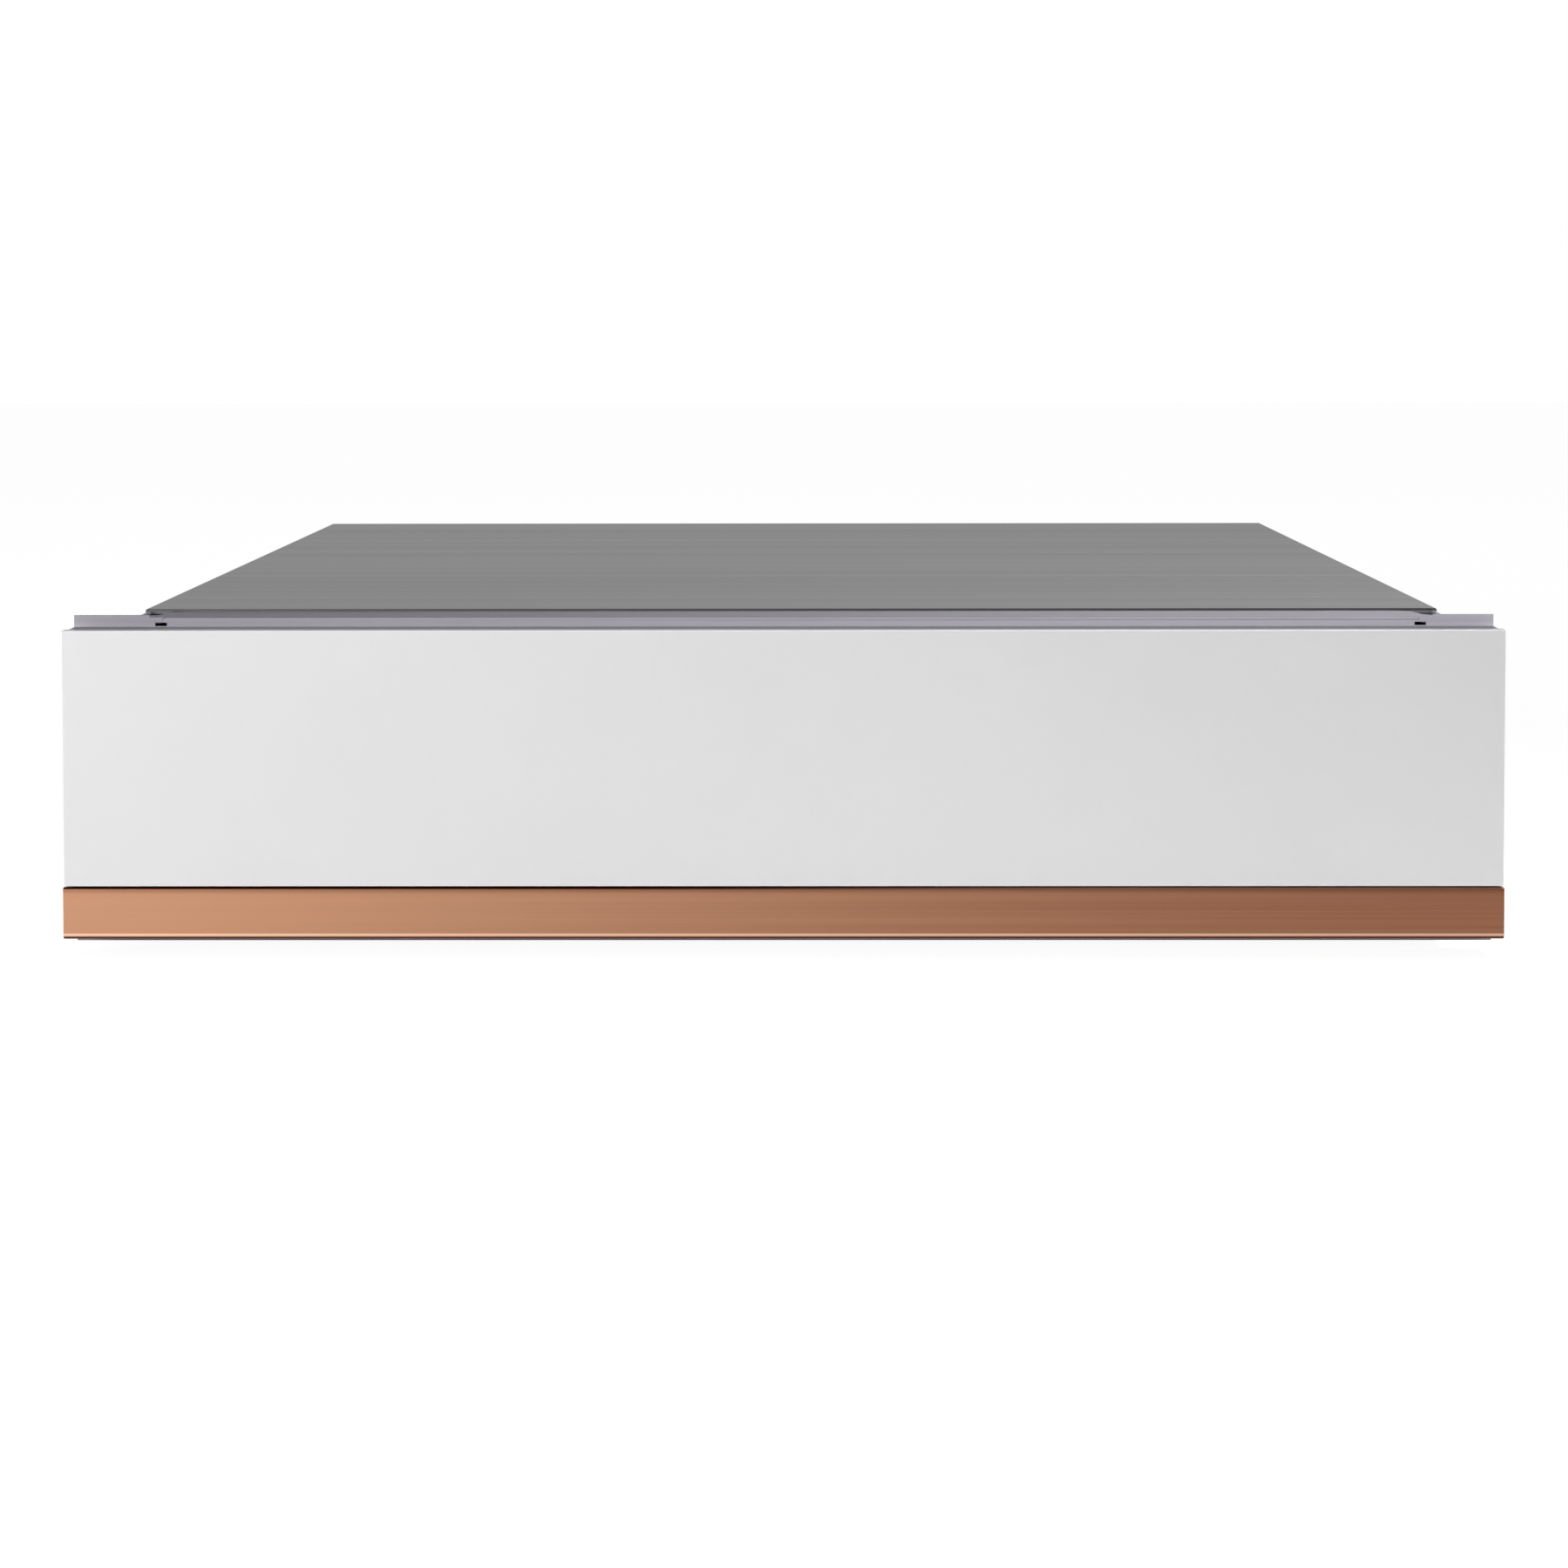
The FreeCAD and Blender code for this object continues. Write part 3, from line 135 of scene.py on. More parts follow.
class Graph:
    """Writes the nodes of one material or world."""

    def __init__(self, tree: bpy.types.NodeTree) -> None:
        """Start with an empty tree.

        Args:
            tree: The node tree to fill.
        """
        self.tree = tree
        tree.nodes.clear()

    def node(self, kind: str, settings: dict | None = None, sockets: dict | None = None) -> bpy.types.Node:
        """Add one node.

        Args:
            kind: Blender's type name of the node.
            settings: The node's own properties, set first.
            sockets: Values or links by socket name or number.

        Returns:
            The new node.
        """
        made = self.tree.nodes.new(kind)
        for name, value in (settings or {}).items():
            setattr(made, name, value)
        for name, value in (sockets or {}).items():
            self.feed(made.inputs[name], value)
        return made

    def feed(self, socket: bpy.types.NodeSocket, value: object) -> None:
        """Link or set one input socket."""
        if isinstance(value, Value):
            self.tree.links.new(value.socket, socket)
        elif isinstance(value, bpy.types.NodeSocket):
            self.tree.links.new(value, socket)
        elif isinstance(value, tuple) and socket.type == "RGBA" and len(value) == 3:
            socket.default_value = (*value, 1.0)
        else:
            socket.default_value = value

    def value(self, kind: str, settings: dict | None = None, sockets: dict | None = None,
              output: str | int = 0) -> Value:
        """Add one node and return one of its outputs."""
        return Value(self, self.node(kind, settings, sockets).outputs[output])

    def place(self, scale: Sequence[float] = (1.0, 1.0, 1.0), centre: Sequence[float] = (0.0, 0.0, 0.0)) -> Value:
        """Object coordinates about a centre, stretched by a scale."""
        where = self.value("ShaderNodeTexCoord", output="Object")
        shifted = self.value("ShaderNodeVectorMath", {"operation": "SUBTRACT"}, {0: where, 1: tuple(centre)})
        return self.value("ShaderNodeVectorMath", {"operation": "MULTIPLY"}, {0: shifted, 1: tuple(scale)})

    def axis(self, name: str) -> Value:
        """One Object coordinate, in metres."""
        where = self.value("ShaderNodeTexCoord", output="Object")
        return self.value("ShaderNodeSeparateXYZ", sockets={0: where}, output=name)

    def noise(self, scale: float, detail: float = 3.0, roughness: float = 0.5,
              where: Value | None = None) -> Value:
        """Smooth noise from nought to one."""
        return self.value("ShaderNodeTexNoise", sockets={"Vector": where or self.place(), "Scale": scale,
                                                         "Detail": detail, "Roughness": roughness})

    def rays(self, *kinds: str) -> list[Value]:
        """For each kind, one where the ray is of that kind, else nought."""
        path = self.node("ShaderNodeLightPath")
        return [Value(self, path.outputs[f"Is {kind} Ray"]) for kind in kinds]

    def mix(self, share: Value | float, low: Colour | Value, high: Colour | Value) -> Value:
        """A colour between two others."""
        made = self.node("ShaderNodeMix", {"data_type": "RGBA"})
        self.feed(made.inputs[0], share)
        self.feed(made.inputs[6], low)
        self.feed(made.inputs[7], high)
        return Value(self, made.outputs[2])

    def bump(self, height: Value, depth: float, strength: float = 1.0) -> Value:
        """A normal from a height."""
        return self.value("ShaderNodeBump", sockets={"Height": height, "Distance": depth, "Strength": strength})


@dataclass(frozen=True)
class Finish:
    """A surface finish, which becomes one material when it is first used."""

    name: str
    colour: Colour
    roughness: float

    def material(self) -> bpy.types.Material:
        """The material of this finish."""
        known = bpy.data.materials.get(self.name)
        if known:
            return known
        made = bpy.data.materials.new(self.name)
        made.use_nodes = True
        graph = Graph(made.node_tree)
        shader = graph.node("ShaderNodeBsdfPrincipled")
        graph.node("ShaderNodeOutputMaterial", sockets={"Surface": shader.outputs[0]})
        for socket, value in {"Base Color": self.colour, "Roughness": self.roughness}.items():
            graph.feed(shader.inputs[socket], value)
        for socket, value in self.surface(graph).items():
            graph.feed(shader.inputs[socket], value)
        made.diffuse_color = (*self.colour, 1.0)
        return made

    def surface(self, graph: Graph) -> dict[str, object]:
        """What the finish feeds to its shader, by socket."""
        raise NotImplementedError

    def tinted(self, share: float, lift: float = 0.0) -> Colour:
        """The finish's colour times a share, plus a lift."""
        return tuple(min(part * share + lift, 1.0) for part in self.colour)


@dataclass(frozen=True)
class Brushed(Finish):
    """Metal brushed along X."""

    contrast: float = 0.16
    band: float = 0.16
    depth: float = 4e-6
    cloud: float = 0.06

    def surface(self, graph: Graph) -> dict[str, object]:
        """Fine and coarse streaks with a faint cloud over them."""
        fine = graph.noise(1.6, 4.0, 0.65, graph.place(BRUSHING))
        coarse = graph.noise(1.0, 2.0, where=graph.place([part * self.band for part in BRUSHING]))
        cloud = graph.noise(7.0, 2.0)
        streak = fine * 0.45 + coarse * 0.55
        dark, light = self.tinted(1.0 - self.contrast), self.tinted(1.0 + self.contrast)
        toned = graph.mix(streak.ramp(0.28, 0.72), dark, light)
        veiled = graph.mix(cloud.ramp(0.3, 0.7) * self.cloud, toned, light)
        return {"Base Color": veiled, "Metallic": 1.0, "Roughness": self.roughness + (fine - 0.5) * 0.16,
                "Normal": graph.bump(streak, self.depth)}


@dataclass(frozen=True)
class CopperAnodised(Finish):
    """Brushed copper-coloured strip with painted shade on its rolled edges and a painted highlight line over its
    foot.
    """

    # The edge colour is painted shade on both rolled edges. The line colour is a painted highlight over the foot.
    # The rim colour is a painted highlight on the top edge towards the right. The right share deepens the strip
    # towards its right end as painted shade.
    painted_shade_colour: Colour = (0.080, 0.016, 0.007)
    painted_highlight_colour: Colour = (0.95, 0.66, 0.50)
    painted_rim_highlight_colour: Colour = (0.66, 0.36, 0.27)
    painted_right_shade_share: Colour = (0.56, 0.41, 0.39)
    low: float = 8.0 * MM
    high: float = 29.5 * MM
    reach: float = 297.5 * MM
    painted_shade_depth: float = 3.2 * MM
    painted_rim_depth: float = 0.8 * MM
    painted_highlight_height: float = 1.9 * MM
    painted_highlight_half: float = 0.7 * MM
    painted_foot_shade_height: float = 0.9 * MM

    def surface(self, graph: Graph) -> dict[str, object]:
        """Streaks along the strip, lighter to the left and deeper to the right as painted light and shade, with
        painted shade and painted highlights at its edges.
        """
        fine = graph.noise(1.3, 4.0, 0.6, graph.place(BRUSHING))
        broad = graph.noise(1.0, 2.0, where=graph.place((1.6, 240.0, 240.0)))
        streak = fine * 0.55 + broad * 0.45
        across, height = graph.axis("X").ramp(-self.reach, self.reach), graph.axis("Z")
        # Deeper in colour to the right and lighter to the left: painted light and shade across the strip.
        painted_shade_right = tuple(part * share for part, share in zip(self.colour, self.painted_right_shade_share))
        tone = graph.mix(across, self.colour, painted_shade_right)
        pale_streak_and_painted_light = graph.mix(across, self.tinted(1.16), self.colour)
        face = graph.mix(streak.ramp(0.25, 0.75) * 0.5, tone, pale_streak_and_painted_light)
        # Painted shade under the top round, a painted highlight on the top rim towards the right, a painted
        # highlight line over the foot and painted shade on the foot.
        shade = height.ramp(self.high - self.painted_shade_depth, self.high - 0.7 * MM) * (0.42 - across * 0.10)
        rim = height.ramp(self.high - self.painted_rim_depth, self.high - self.painted_rim_depth + 0.3 * MM)
        line = 1.0 - ((height - (self.low + self.painted_highlight_height)) / self.painted_highlight_half).absolute().ramp(0.35, 1.0)
        foot = 1.0 - height.ramp(self.low + self.painted_foot_shade_height, self.low + self.painted_foot_shade_height + 0.35 * MM)
        top = graph.mix(across.ramp(0.35, 0.9) * 0.75, self.painted_shade_colour, self.painted_rim_highlight_colour)
        body = graph.mix(line * 0.55, graph.mix(shade, face, self.painted_shade_colour), self.painted_highlight_colour)
        toned = graph.mix(foot, graph.mix(rim, body, top), self.painted_shade_colour)
        return {"Base Color": toned, "Metallic": 1.0, "Roughness": self.roughness + (fine - 0.5) * 0.12,
                "Normal": graph.bump(streak, 3e-6)}


@dataclass(frozen=True)
class SatinPaint(Finish):
    """Stoved paint on sheet steel, a little deeper at its left end than at its right as painted light and shade.
    """

    # Left and right are shares of the colour across X, as painted light and shade. The foot share lightens the
    # band under the top edge as a painted highlight. The below share darkens the paint further down as painted
    # shade.
    left: float = 0.76
    right: float = 1.20
    foot: float = 1.0
    below: float = 1.0
    top: float = 139.0 * MM
    foot_from: float = 3.4 * MM
    foot_to: float = 1.6 * MM
    below_from: float = 9.0 * MM
    below_to: float = 5.0 * MM
    peel: float = 6e-6
    reach: float = 297.5 * MM

    def surface(self, graph: Graph) -> dict[str, object]:
        """Orange peel and a faint mottle, with a painted highlight at the foot of the top edge and painted shade
        below it.
        """
        peel = graph.noise(520.0, 2.0)
        mottle = graph.noise(24.0, 4.0, 0.6)
        across, height = graph.axis("X").ramp(-self.reach, self.reach), graph.axis("Z")
        plain, foot, below = (graph.mix(across, self.tinted(self.left * share), self.tinted(self.right * share))
                              for share in (1.0, self.foot, self.below))
        edge = graph.mix(height.ramp(self.top - self.foot_from, self.top - self.foot_to), foot, plain)
        tone = graph.mix(height.ramp(self.top - self.below_from, self.top - self.below_to), below, edge)
        return {"Base Color": graph.mix(mottle.ramp(0.3, 0.7) * 0.15, tone, self.tinted(1.2)),
                "Specular IOR Level": 0.2, "Roughness": self.roughness + (mottle - 0.5) * 0.1,
                "Normal": graph.bump(peel, self.peel)}


@dataclass(frozen=True)
class BackPaintedGlass(Finish):
    """Glass with paint behind it: a soft even colour under a smooth hard face."""

    def surface(self, graph: Graph) -> dict[str, object]:
        """An almost even colour with very faint clouds in the paint."""
        cloud = graph.noise(9.0, 5.0, 0.6)
        speck = graph.noise(700.0, 1.0)
        tone = cloud.ramp(0.3, 0.7) * 0.8 + speck * 0.2
        return {"Base Color": graph.mix(tone, self.tinted(0.985), self.tinted(1.012)), "Coat Weight": 0.35,
                "Coat Roughness": 0.04, "Coat IOR": 1.5, "Roughness": self.roughness + (cloud - 0.5) * 0.04}


@dataclass(frozen=True)
class ClearGlass(Finish):
    """Clear toughened glass."""

    def surface(self, graph: Graph) -> dict[str, object]:
        """Clear, with a breath of haze from wiping."""
        haze = graph.noise(6.0, 4.0, 0.7, graph.place((3.0, 9.0, 3.0)))
        return {"Transmission Weight": 1.0, "IOR": 1.5, "Roughness": haze.ramp(0.45, 0.85) * 0.05}


@dataclass(frozen=True)
class TouchGlass(Finish):
    """Black glass of the touch panel."""

    def surface(self, graph: Graph) -> dict[str, object]:
        """Deep black with faint wipe marks."""
        smear = graph.noise(3.0, 4.0, 0.6, graph.place((4.0, 40.0, 4.0)))
        return {"Roughness": 0.05 + smear.ramp(0.45, 0.8) * 0.12, "Coat Weight": 1.0, "Coat Roughness": 0.02}


@dataclass(frozen=True)
class Moulded(Finish):
    """Moulded plastic with a fine grain."""

    grain: float = 900.0
    depth: float = 1.2e-5

    def surface(self, graph: Graph) -> dict[str, object]:
        """Spark-eroded grain and a slight shift in tone."""
        grain = graph.noise(self.grain, 2.0)
        tone = graph.noise(30.0, 3.0)
        return {"Base Color": graph.mix(tone.ramp(0.35, 0.75) * 0.5, self.colour, self.tinted(1.25, 0.004)),
                "Roughness": self.roughness + (grain - 0.5) * 0.14, "Normal": graph.bump(grain, self.depth)}


@dataclass(frozen=True)
class Silicone(Finish):
    """Silicone or rubber, with dust in its pores."""

    def surface(self, graph: Graph) -> dict[str, object]:
        """Soft mottle and a matt skin."""
        dust = graph.noise(160.0, 5.0, 0.7)
        pores = graph.noise(1500.0, 1.0)
        return {"Base Color": graph.mix(dust.ramp(0.5, 0.8) * 0.5, self.colour, self.tinted(1.3, 0.02)),
                "Roughness": self.roughness + (dust - 0.5) * 0.12, "Normal": graph.bump(pores, 1e-5)}


@dataclass(frozen=True)
class Galvanised(Finish):
    """Zinc-coated sheet with its flowers, painted in front of a line where one is given."""

    paint: Colour = (0.235, 0.225, 0.258)
    painted_to: float = -1.0

    def surface(self, graph: Graph) -> dict[str, object]:
        """Angular zinc flowers under a soft bloom."""
        flower = graph.value("ShaderNodeTexVoronoi", {"feature": "F1", "distance": "MANHATTAN"},
                             {"Vector": graph.place(), "Scale": 95.0, "Randomness": 1.0}, "Color")
        tone = graph.value("ShaderNodeSeparateColor", sockets={0: flower}, output=0)
        bloom = graph.noise(14.0)
        zinc = graph.mix(tone * 0.7 + bloom * 0.3, self.tinted(0.86), self.tinted(1.1))
        bare = graph.axis("Y").ramp(self.painted_to - 0.5 * MM, self.painted_to)
        colour = graph.mix(bare, self.paint, zinc)
        return {"Base Color": colour, "Metallic": bare * 0.85, "Roughness": self.roughness + (tone - 0.5) * 0.18}


@dataclass(frozen=True)
class PlainMetal(Finish):
    """Turned, rolled or cast metal."""

    mottle: float = 60.0
    depth: float = 4e-6

    def surface(self, graph: Graph) -> dict[str, object]:
        """A fine mottle in tone and sheen."""
        mottle = graph.noise(self.mottle, 4.0, 0.6)
        fine = graph.noise(self.mottle * 14.0, 2.0)
        return {"Base Color": graph.mix(mottle.ramp(0.3, 0.7), self.tinted(0.88), self.colour), "Metallic": 1.0,
                "Roughness": self.roughness + (mottle - 0.5) * 0.16, "Normal": graph.bump(fine, self.depth)}


@dataclass(frozen=True)
class CircuitBoard(Finish):
    """Solder mask over copper tracks."""

    def surface(self, graph: Graph) -> dict[str, object]:
        """Square tracks that show a little lighter through the mask."""
        tracks = graph.value("ShaderNodeTexBrick", {"offset": 0.37, "squash": 0.6},
                             {"Vector": graph.place(), "Scale": 130.0, "Mortar Size": 0.05,
                              "Color1": (0.0, 0.0, 0.0), "Color2": (0.2, 0.2, 0.2),
                              "Mortar": (1.0, 1.0, 1.0)}, "Fac")
        return {"Base Color": graph.mix(tracks, self.colour, self.tinted(1.9, 0.01)), "Coat Weight": 0.4,
                "Normal": graph.bump(tracks, 3e-5)}


@dataclass(frozen=True)
class Lamp(Finish):
    """A symbol or segment that glows through the touch panel."""

    strength: float = 1.2

    def surface(self, graph: Graph) -> dict[str, object]:
        """An even glow, a little stronger in its middle grain."""
        grain = graph.noise(900.0, 1.0)
        glow = graph.mix(grain, self.tinted(0.85), self.colour)
        return {"Base Color": glow, "Emission Color": glow, "Emission Strength": self.strength}


COVER_STEEL = Brushed("cover_brushed_steel", (0.144, 0.1445, 0.144), 0.42, contrast=0.22, band=0.10, depth=2.5e-6)
DECK_STEEL = Brushed("deck_brushed_steel", (0.52, 0.52, 0.52), 0.30, contrast=0.12)
COPPER = CopperAnodised("copper_anodised_strip", (0.445, 0.231, 0.136), 0.40)
# The frame paint carries painted light: lighter to the right, a painted highlight under its top edge and painted
# shade lower down. The fold, ledge and door paints are darker copies of it, as painted shade, each with its own
# left and right shares of painted light.
FRAME_PAINT = SatinPaint("lavender_grey_paint", (0.510, 0.490, 0.556), 0.55, foot=1.27, below=0.65)
FOLD_SHADED_PAINT = SatinPaint("folded_grey_paint", (0.385, 0.370, 0.420), 0.70, left=1.0, right=0.86)
LEDGE_SHADED_PAINT = SatinPaint("ledge_grey_paint", (0.250, 0.2375, 0.273), 0.60, left=0.68, right=0.98)
DOOR_SHADED_PAINT = SatinPaint("door_grey_paint", (0.172, 0.165, 0.190), 0.52, left=1.10, right=0.62)
FRONT_GLASS = BackPaintedGlass("light_back_painted_glass", (0.757, 0.757, 0.766), 0.42)
LID_GLASS = ClearGlass("clear_lid_glass", (0.93, 0.97, 0.96), 0.0)
PANEL_GLASS = TouchGlass("black_touch_glass", (0.006, 0.006, 0.007), 0.06)
GLASS_EDGE = BackPaintedGlass("ground_glass_edge", (0.235, 0.230, 0.255), 0.30)
# A lighter colour on the pane's arrises, as a painted highlight.
GLASS_ARRIS_HIGHLIGHT = BackPaintedGlass("polished_glass_arris", (0.90, 0.91, 0.94), 0.25)
BLACK_PLASTIC = Moulded("black_moulded_plastic", (0.022, 0.022, 0.024), 0.48)
GREY_PLASTIC = Moulded("grey_moulded_plastic", (0.32, 0.33, 0.35), 0.45)
BLACK_RUBBER = Silicone("black_rubber", (0.018, 0.018, 0.019), 0.72)
GREY_SILICONE = Silicone("grey_silicone", (0.20, 0.205, 0.215), 0.55)
ZINC_SHEET = Galvanised("zinc_coated_sheet", (0.47, 0.48, 0.50), 0.40)
TRAY_SHEET = Galvanised("front_painted_zinc_sheet", (0.47, 0.48, 0.50), 0.40, painted_to=-231.0 * MM)
ZINC_RAIL = PlainMetal("bright_zinc_rail", (0.56, 0.58, 0.60), 0.28)
BALL_STEEL = PlainMetal("ball_and_cage_steel", (0.50, 0.50, 0.52), 0.18)
SCREW_STEEL = PlainMetal("plain_screw_steel", (0.55, 0.55, 0.56), 0.30, mottle=300.0)
SATIN_ALUMINIUM = Brushed("satin_aluminium", (0.66, 0.66, 0.67), 0.34, contrast=0.07, depth=2e-6)
CAST_ALUMINIUM = PlainMetal("cast_aluminium", (0.42, 0.43, 0.44), 0.52, mottle=220.0, depth=3e-5)
CORE_PLATE = PlainMetal("varnished_core_plate", (0.17, 0.165, 0.16), 0.45, mottle=120.0)
RELAY_CASE = Moulded("blue_relay_case", (0.030, 0.085, 0.22), 0.38)
WHITE_PLASTIC = Moulded("white_plug_plastic", (0.68, 0.67, 0.62), 0.42)
RESISTOR = Moulded("tan_resistor_lacquer", (0.42, 0.28, 0.15), 0.35, grain=700.0)
HEATING_TAPE = Moulded("heating_tape", (0.20, 0.145, 0.085), 0.40, grain=1600.0)
BOARD_GREEN = CircuitBoard("green_circuit_board", (0.010, 0.060, 0.028), 0.40)
WINDING = Moulded("varnished_winding", (0.16, 0.055, 0.022), 0.35, grain=500.0)
TAPE = Moulded("black_tape", (0.03, 0.03, 0.03), 0.6)
PANEL_LAMP = Lamp("panel_lamp_white", (0.80, 0.86, 0.90), 0.4)

NODE_FINISHES: dict[Finish, tuple[str, ...]] = {
    COVER_STEEL: ("top_cover",),
    FRAME_PAINT: ("front_frame",),
    DOOR_SHADED_PAINT: ("door_carrier", "door_inner_panel"),
    FRONT_GLASS: ("front_glass",),
    COPPER: ("copper_trim",),
    TRAY_SHEET: ("base_tray",),
    ZINC_SHEET: ("rear_panel", "drawer_tray", "pump_bracket"),
    DECK_STEEL: ("deck_plate", "rear_deck_cover", "chamber_tub"),
    BLACK_RUBBER: ("rubber_feet", "pump_dampers", "door_bumpers"),
    ZINC_RAIL: ("rail_outer_left", "rail_outer_right", "rail_mid_left", "rail_mid_right",
                "rail_inner_left", "rail_inner_right"),
    BALL_STEEL: ("ball_cage_outer_left", "ball_cage_outer_right", "ball_cage_inner_left",
                 "ball_cage_inner_right"),
    SCREW_STEEL: ("housing_screws", "drawer_screws", "hinge_pins", "seal_pistons", "strike_plate"),
    BLACK_PLASTIC: ("mains_inlet", "terminal_box", "push_latch_housing", "cooling_fan_frame",
                    "cooling_fan_rotor", "pump_fan", "muffler"),
    GREY_PLASTIC: ("push_latch_plunger", "seal_cylinders", "suction_filter"),
    GREY_SILICONE: ("lid_seal", "counter_bar", "vacuum_hoses"),
    LID_GLASS: ("lid_glass",),
    SATIN_ALUMINIUM: ("lid_clamp_rail", "lid_handle", "hinge_brackets", "hinge_dampers", "seal_bar",
                      "valve_block"),
    HEATING_TAPE: ("heating_strip",),
    PANEL_GLASS: ("control_panel",),
    BOARD_GREEN: ("control_board", "power_board"),
    CAST_ALUMINIUM: ("vacuum_pump", "pump_motor"),
    WINDING: ("solenoid_valves", "transformer"),
    TAPE: ("door_tape",),
}


@dataclass(frozen=True)
class SoftLamp:
    """A rectangular soft lamp that the camera doesn't see."""

    name: str
    place: Place
    aim: Place
    size: tuple[float, float]
    power: float
    spread: float = math.pi

    def build(self) -> None:
        """Hang it in its place and turn it to its aim."""
        data = bpy.data.lights.new(self.name, "AREA")
        data.shape = "RECTANGLE"
        data.size, data.size_y = self.size
        data.energy, data.spread = self.power, self.spread
        lamp = bpy.data.objects.new(self.name, data)
        lamp.location = self.place
        lamp.rotation_euler = (Vector(self.aim) - Vector(self.place)).to_track_quat("-Z", "Y").to_euler()
        lamp.visible_camera = False
        bpy.context.collection.objects.link(lamp)


SOFT_LAMPS = (
    SoftLamp("key_softbox", (-1.35, -1.55, 0.42), (-0.1, -0.285, 0.1), (1.3, 0.8), 21.7),
    SoftLamp("fill_softbox", (1.5, -1.5, 0.9), (0.1, -0.285, 0.1), (1.0, 1.0), 2.0),
    SoftLamp("rim_softbox", (0.55, -0.1, 0.75), (0.15, -0.2, 0.139), (0.5, 0.4), 1.3, math.radians(75)),
    SoftLamp("back_softbox", (0.0, 2.2, 1.2), (0.0, 0.285, 0.07), (3.0, 1.0), 0.9),
)


@dataclass
class Studio:
    """Camera, lamps, world and floor."""

    eye: Place = (0.0112, -1.5516, 0.2693)
    pitch: float = math.radians(2.4)
    yaw: float = math.radians(0.356)
    roll: float = math.radians(-0.081)
    image_width: float = 1800.0
    sensor: float = 36.0
    focal_pixels: float = 3549.0
    axis_column: float = 907.0
    axis_row: float = 499.9
    sky_level: float = 0.70
    sky_overhead_loss: float = 0.54
    gloss_level: float = 0.85
    gloss_right_loss: float = 0.55
    gloss_overhead_loss: float = 0.30
    floor_size: float = 14.0
    floor_drop: float = 0.2 * MM
    floor_white: float = 0.85
    floor_glow: float = 1.30
    floor_glow_share: float = 0.71

    def build(self) -> None:
        """Set up everything round the object."""
        self._camera()
        self._world()
        self._floor()
        for lamp in SOFT_LAMPS:
            lamp.build()
        bpy.context.scene.view_settings.view_transform = "Standard"

    def _camera(self) -> None:
        """An almost level camera, with a shift for the rest of the framing."""
        data = bpy.data.cameras.new("photo_camera")
        data.sensor_width = self.sensor
        data.lens = self.focal_pixels / self.image_width * self.sensor
        data.shift_x = (self.image_width / 2 - self.axis_column) / self.image_width
        data.shift_y = (self.axis_row - self.image_width / 2) / self.image_width
        data.clip_start, data.clip_end = 0.05, 50.0
        camera = bpy.data.objects.new("photo_camera", data)
        turn = Matrix.Rotation(self.yaw, 4, "Z") @ Matrix.Rotation(math.pi / 2 - self.pitch, 4, "X")
        camera.matrix_world = Matrix.Translation(self.eye) @ turn @ Matrix.Rotation(self.roll, 4, "Z")
        bpy.context.collection.objects.link(camera)
        bpy.context.scene.camera = camera

    def _world(self) -> None:
        """White to the eye. As light it is softer, dim overhead, and in gloss it falls off to the right."""
        world = bpy.data.worlds.new("studio_world")
        bpy.context.scene.world = world
        world.use_nodes = True
        graph = Graph(world.node_tree)
        direct, through, glossy = graph.rays("Camera", "Transmission", "Glossy")
        seen = (direct + through).above(0.5)
        facing = graph.value("ShaderNodeTexCoord", output="Generated")
        way = graph.node("ShaderNodeSeparateXYZ", sockets={0: facing})
        across, back, up = (Value(graph, way.outputs[index]) for index in range(3))
        overhead = up.ramp(0.05, 0.7)
        soft = self.sky_level - overhead * self.sky_overhead_loss
        right = across.ramp(-0.30, 0.12) * (1.0 - back.ramp(-0.3, 0.3))
        gloss = (self.gloss_level - right * self.gloss_right_loss) * (1.0 - overhead * self.gloss_overhead_loss)
        level = soft + glossy * (gloss - soft)
        shown = graph.node("ShaderNodeBackground", sockets={"Color": (1.0, 1.0, 1.0),
                                                            "Strength": level + seen * (1.0 - level)})
        graph.node("ShaderNodeOutputWorld", sockets={"Surface": shown.outputs[0]})

    def _floor(self) -> None:
        """A white floor that keeps the object's shadow."""
        mesh = bpy.data.meshes.new("studio_floor")
        half = self.floor_size / 2
        corners = [(-half, -half), (half, -half), (half, half), (-half, half)]
        mesh.from_pydata([(x, y, -self.floor_drop) for x, y in corners], [], [(0, 1, 2, 3)])
        floor = bpy.data.objects.new("studio_floor", mesh)
        bpy.context.collection.objects.link(floor)
        material = bpy.data.materials.new("studio_floor_white")
        material.use_nodes = True
        graph = Graph(material.node_tree)
        seen, glossy, through = graph.rays("Camera", "Glossy", "Transmission")
        lit = (seen + glossy + through).above(0.5)
        matt = graph.node("ShaderNodeBsdfDiffuse", sockets={"Color": (self.floor_white,) * 3})
        glow = graph.node("ShaderNodeEmission", sockets={"Color": (1.0, 1.0, 1.0), "Strength": self.floor_glow})
        both = graph.node("ShaderNodeMixShader", sockets={0: lit * self.floor_glow_share, 1: matt.outputs[0],
                                                          2: glow.outputs[0]})
        graph.node("ShaderNodeOutputMaterial", sockets={"Surface": both.outputs[0]})
        mesh.materials.append(material)


class Axis(Enum):
    """The direction that a profile is drawn out along, and the order of the axes of its outline."""

    X = (1, 2, 0)
    Y = (0, 2, 1)
    Z = (0, 1, 2)


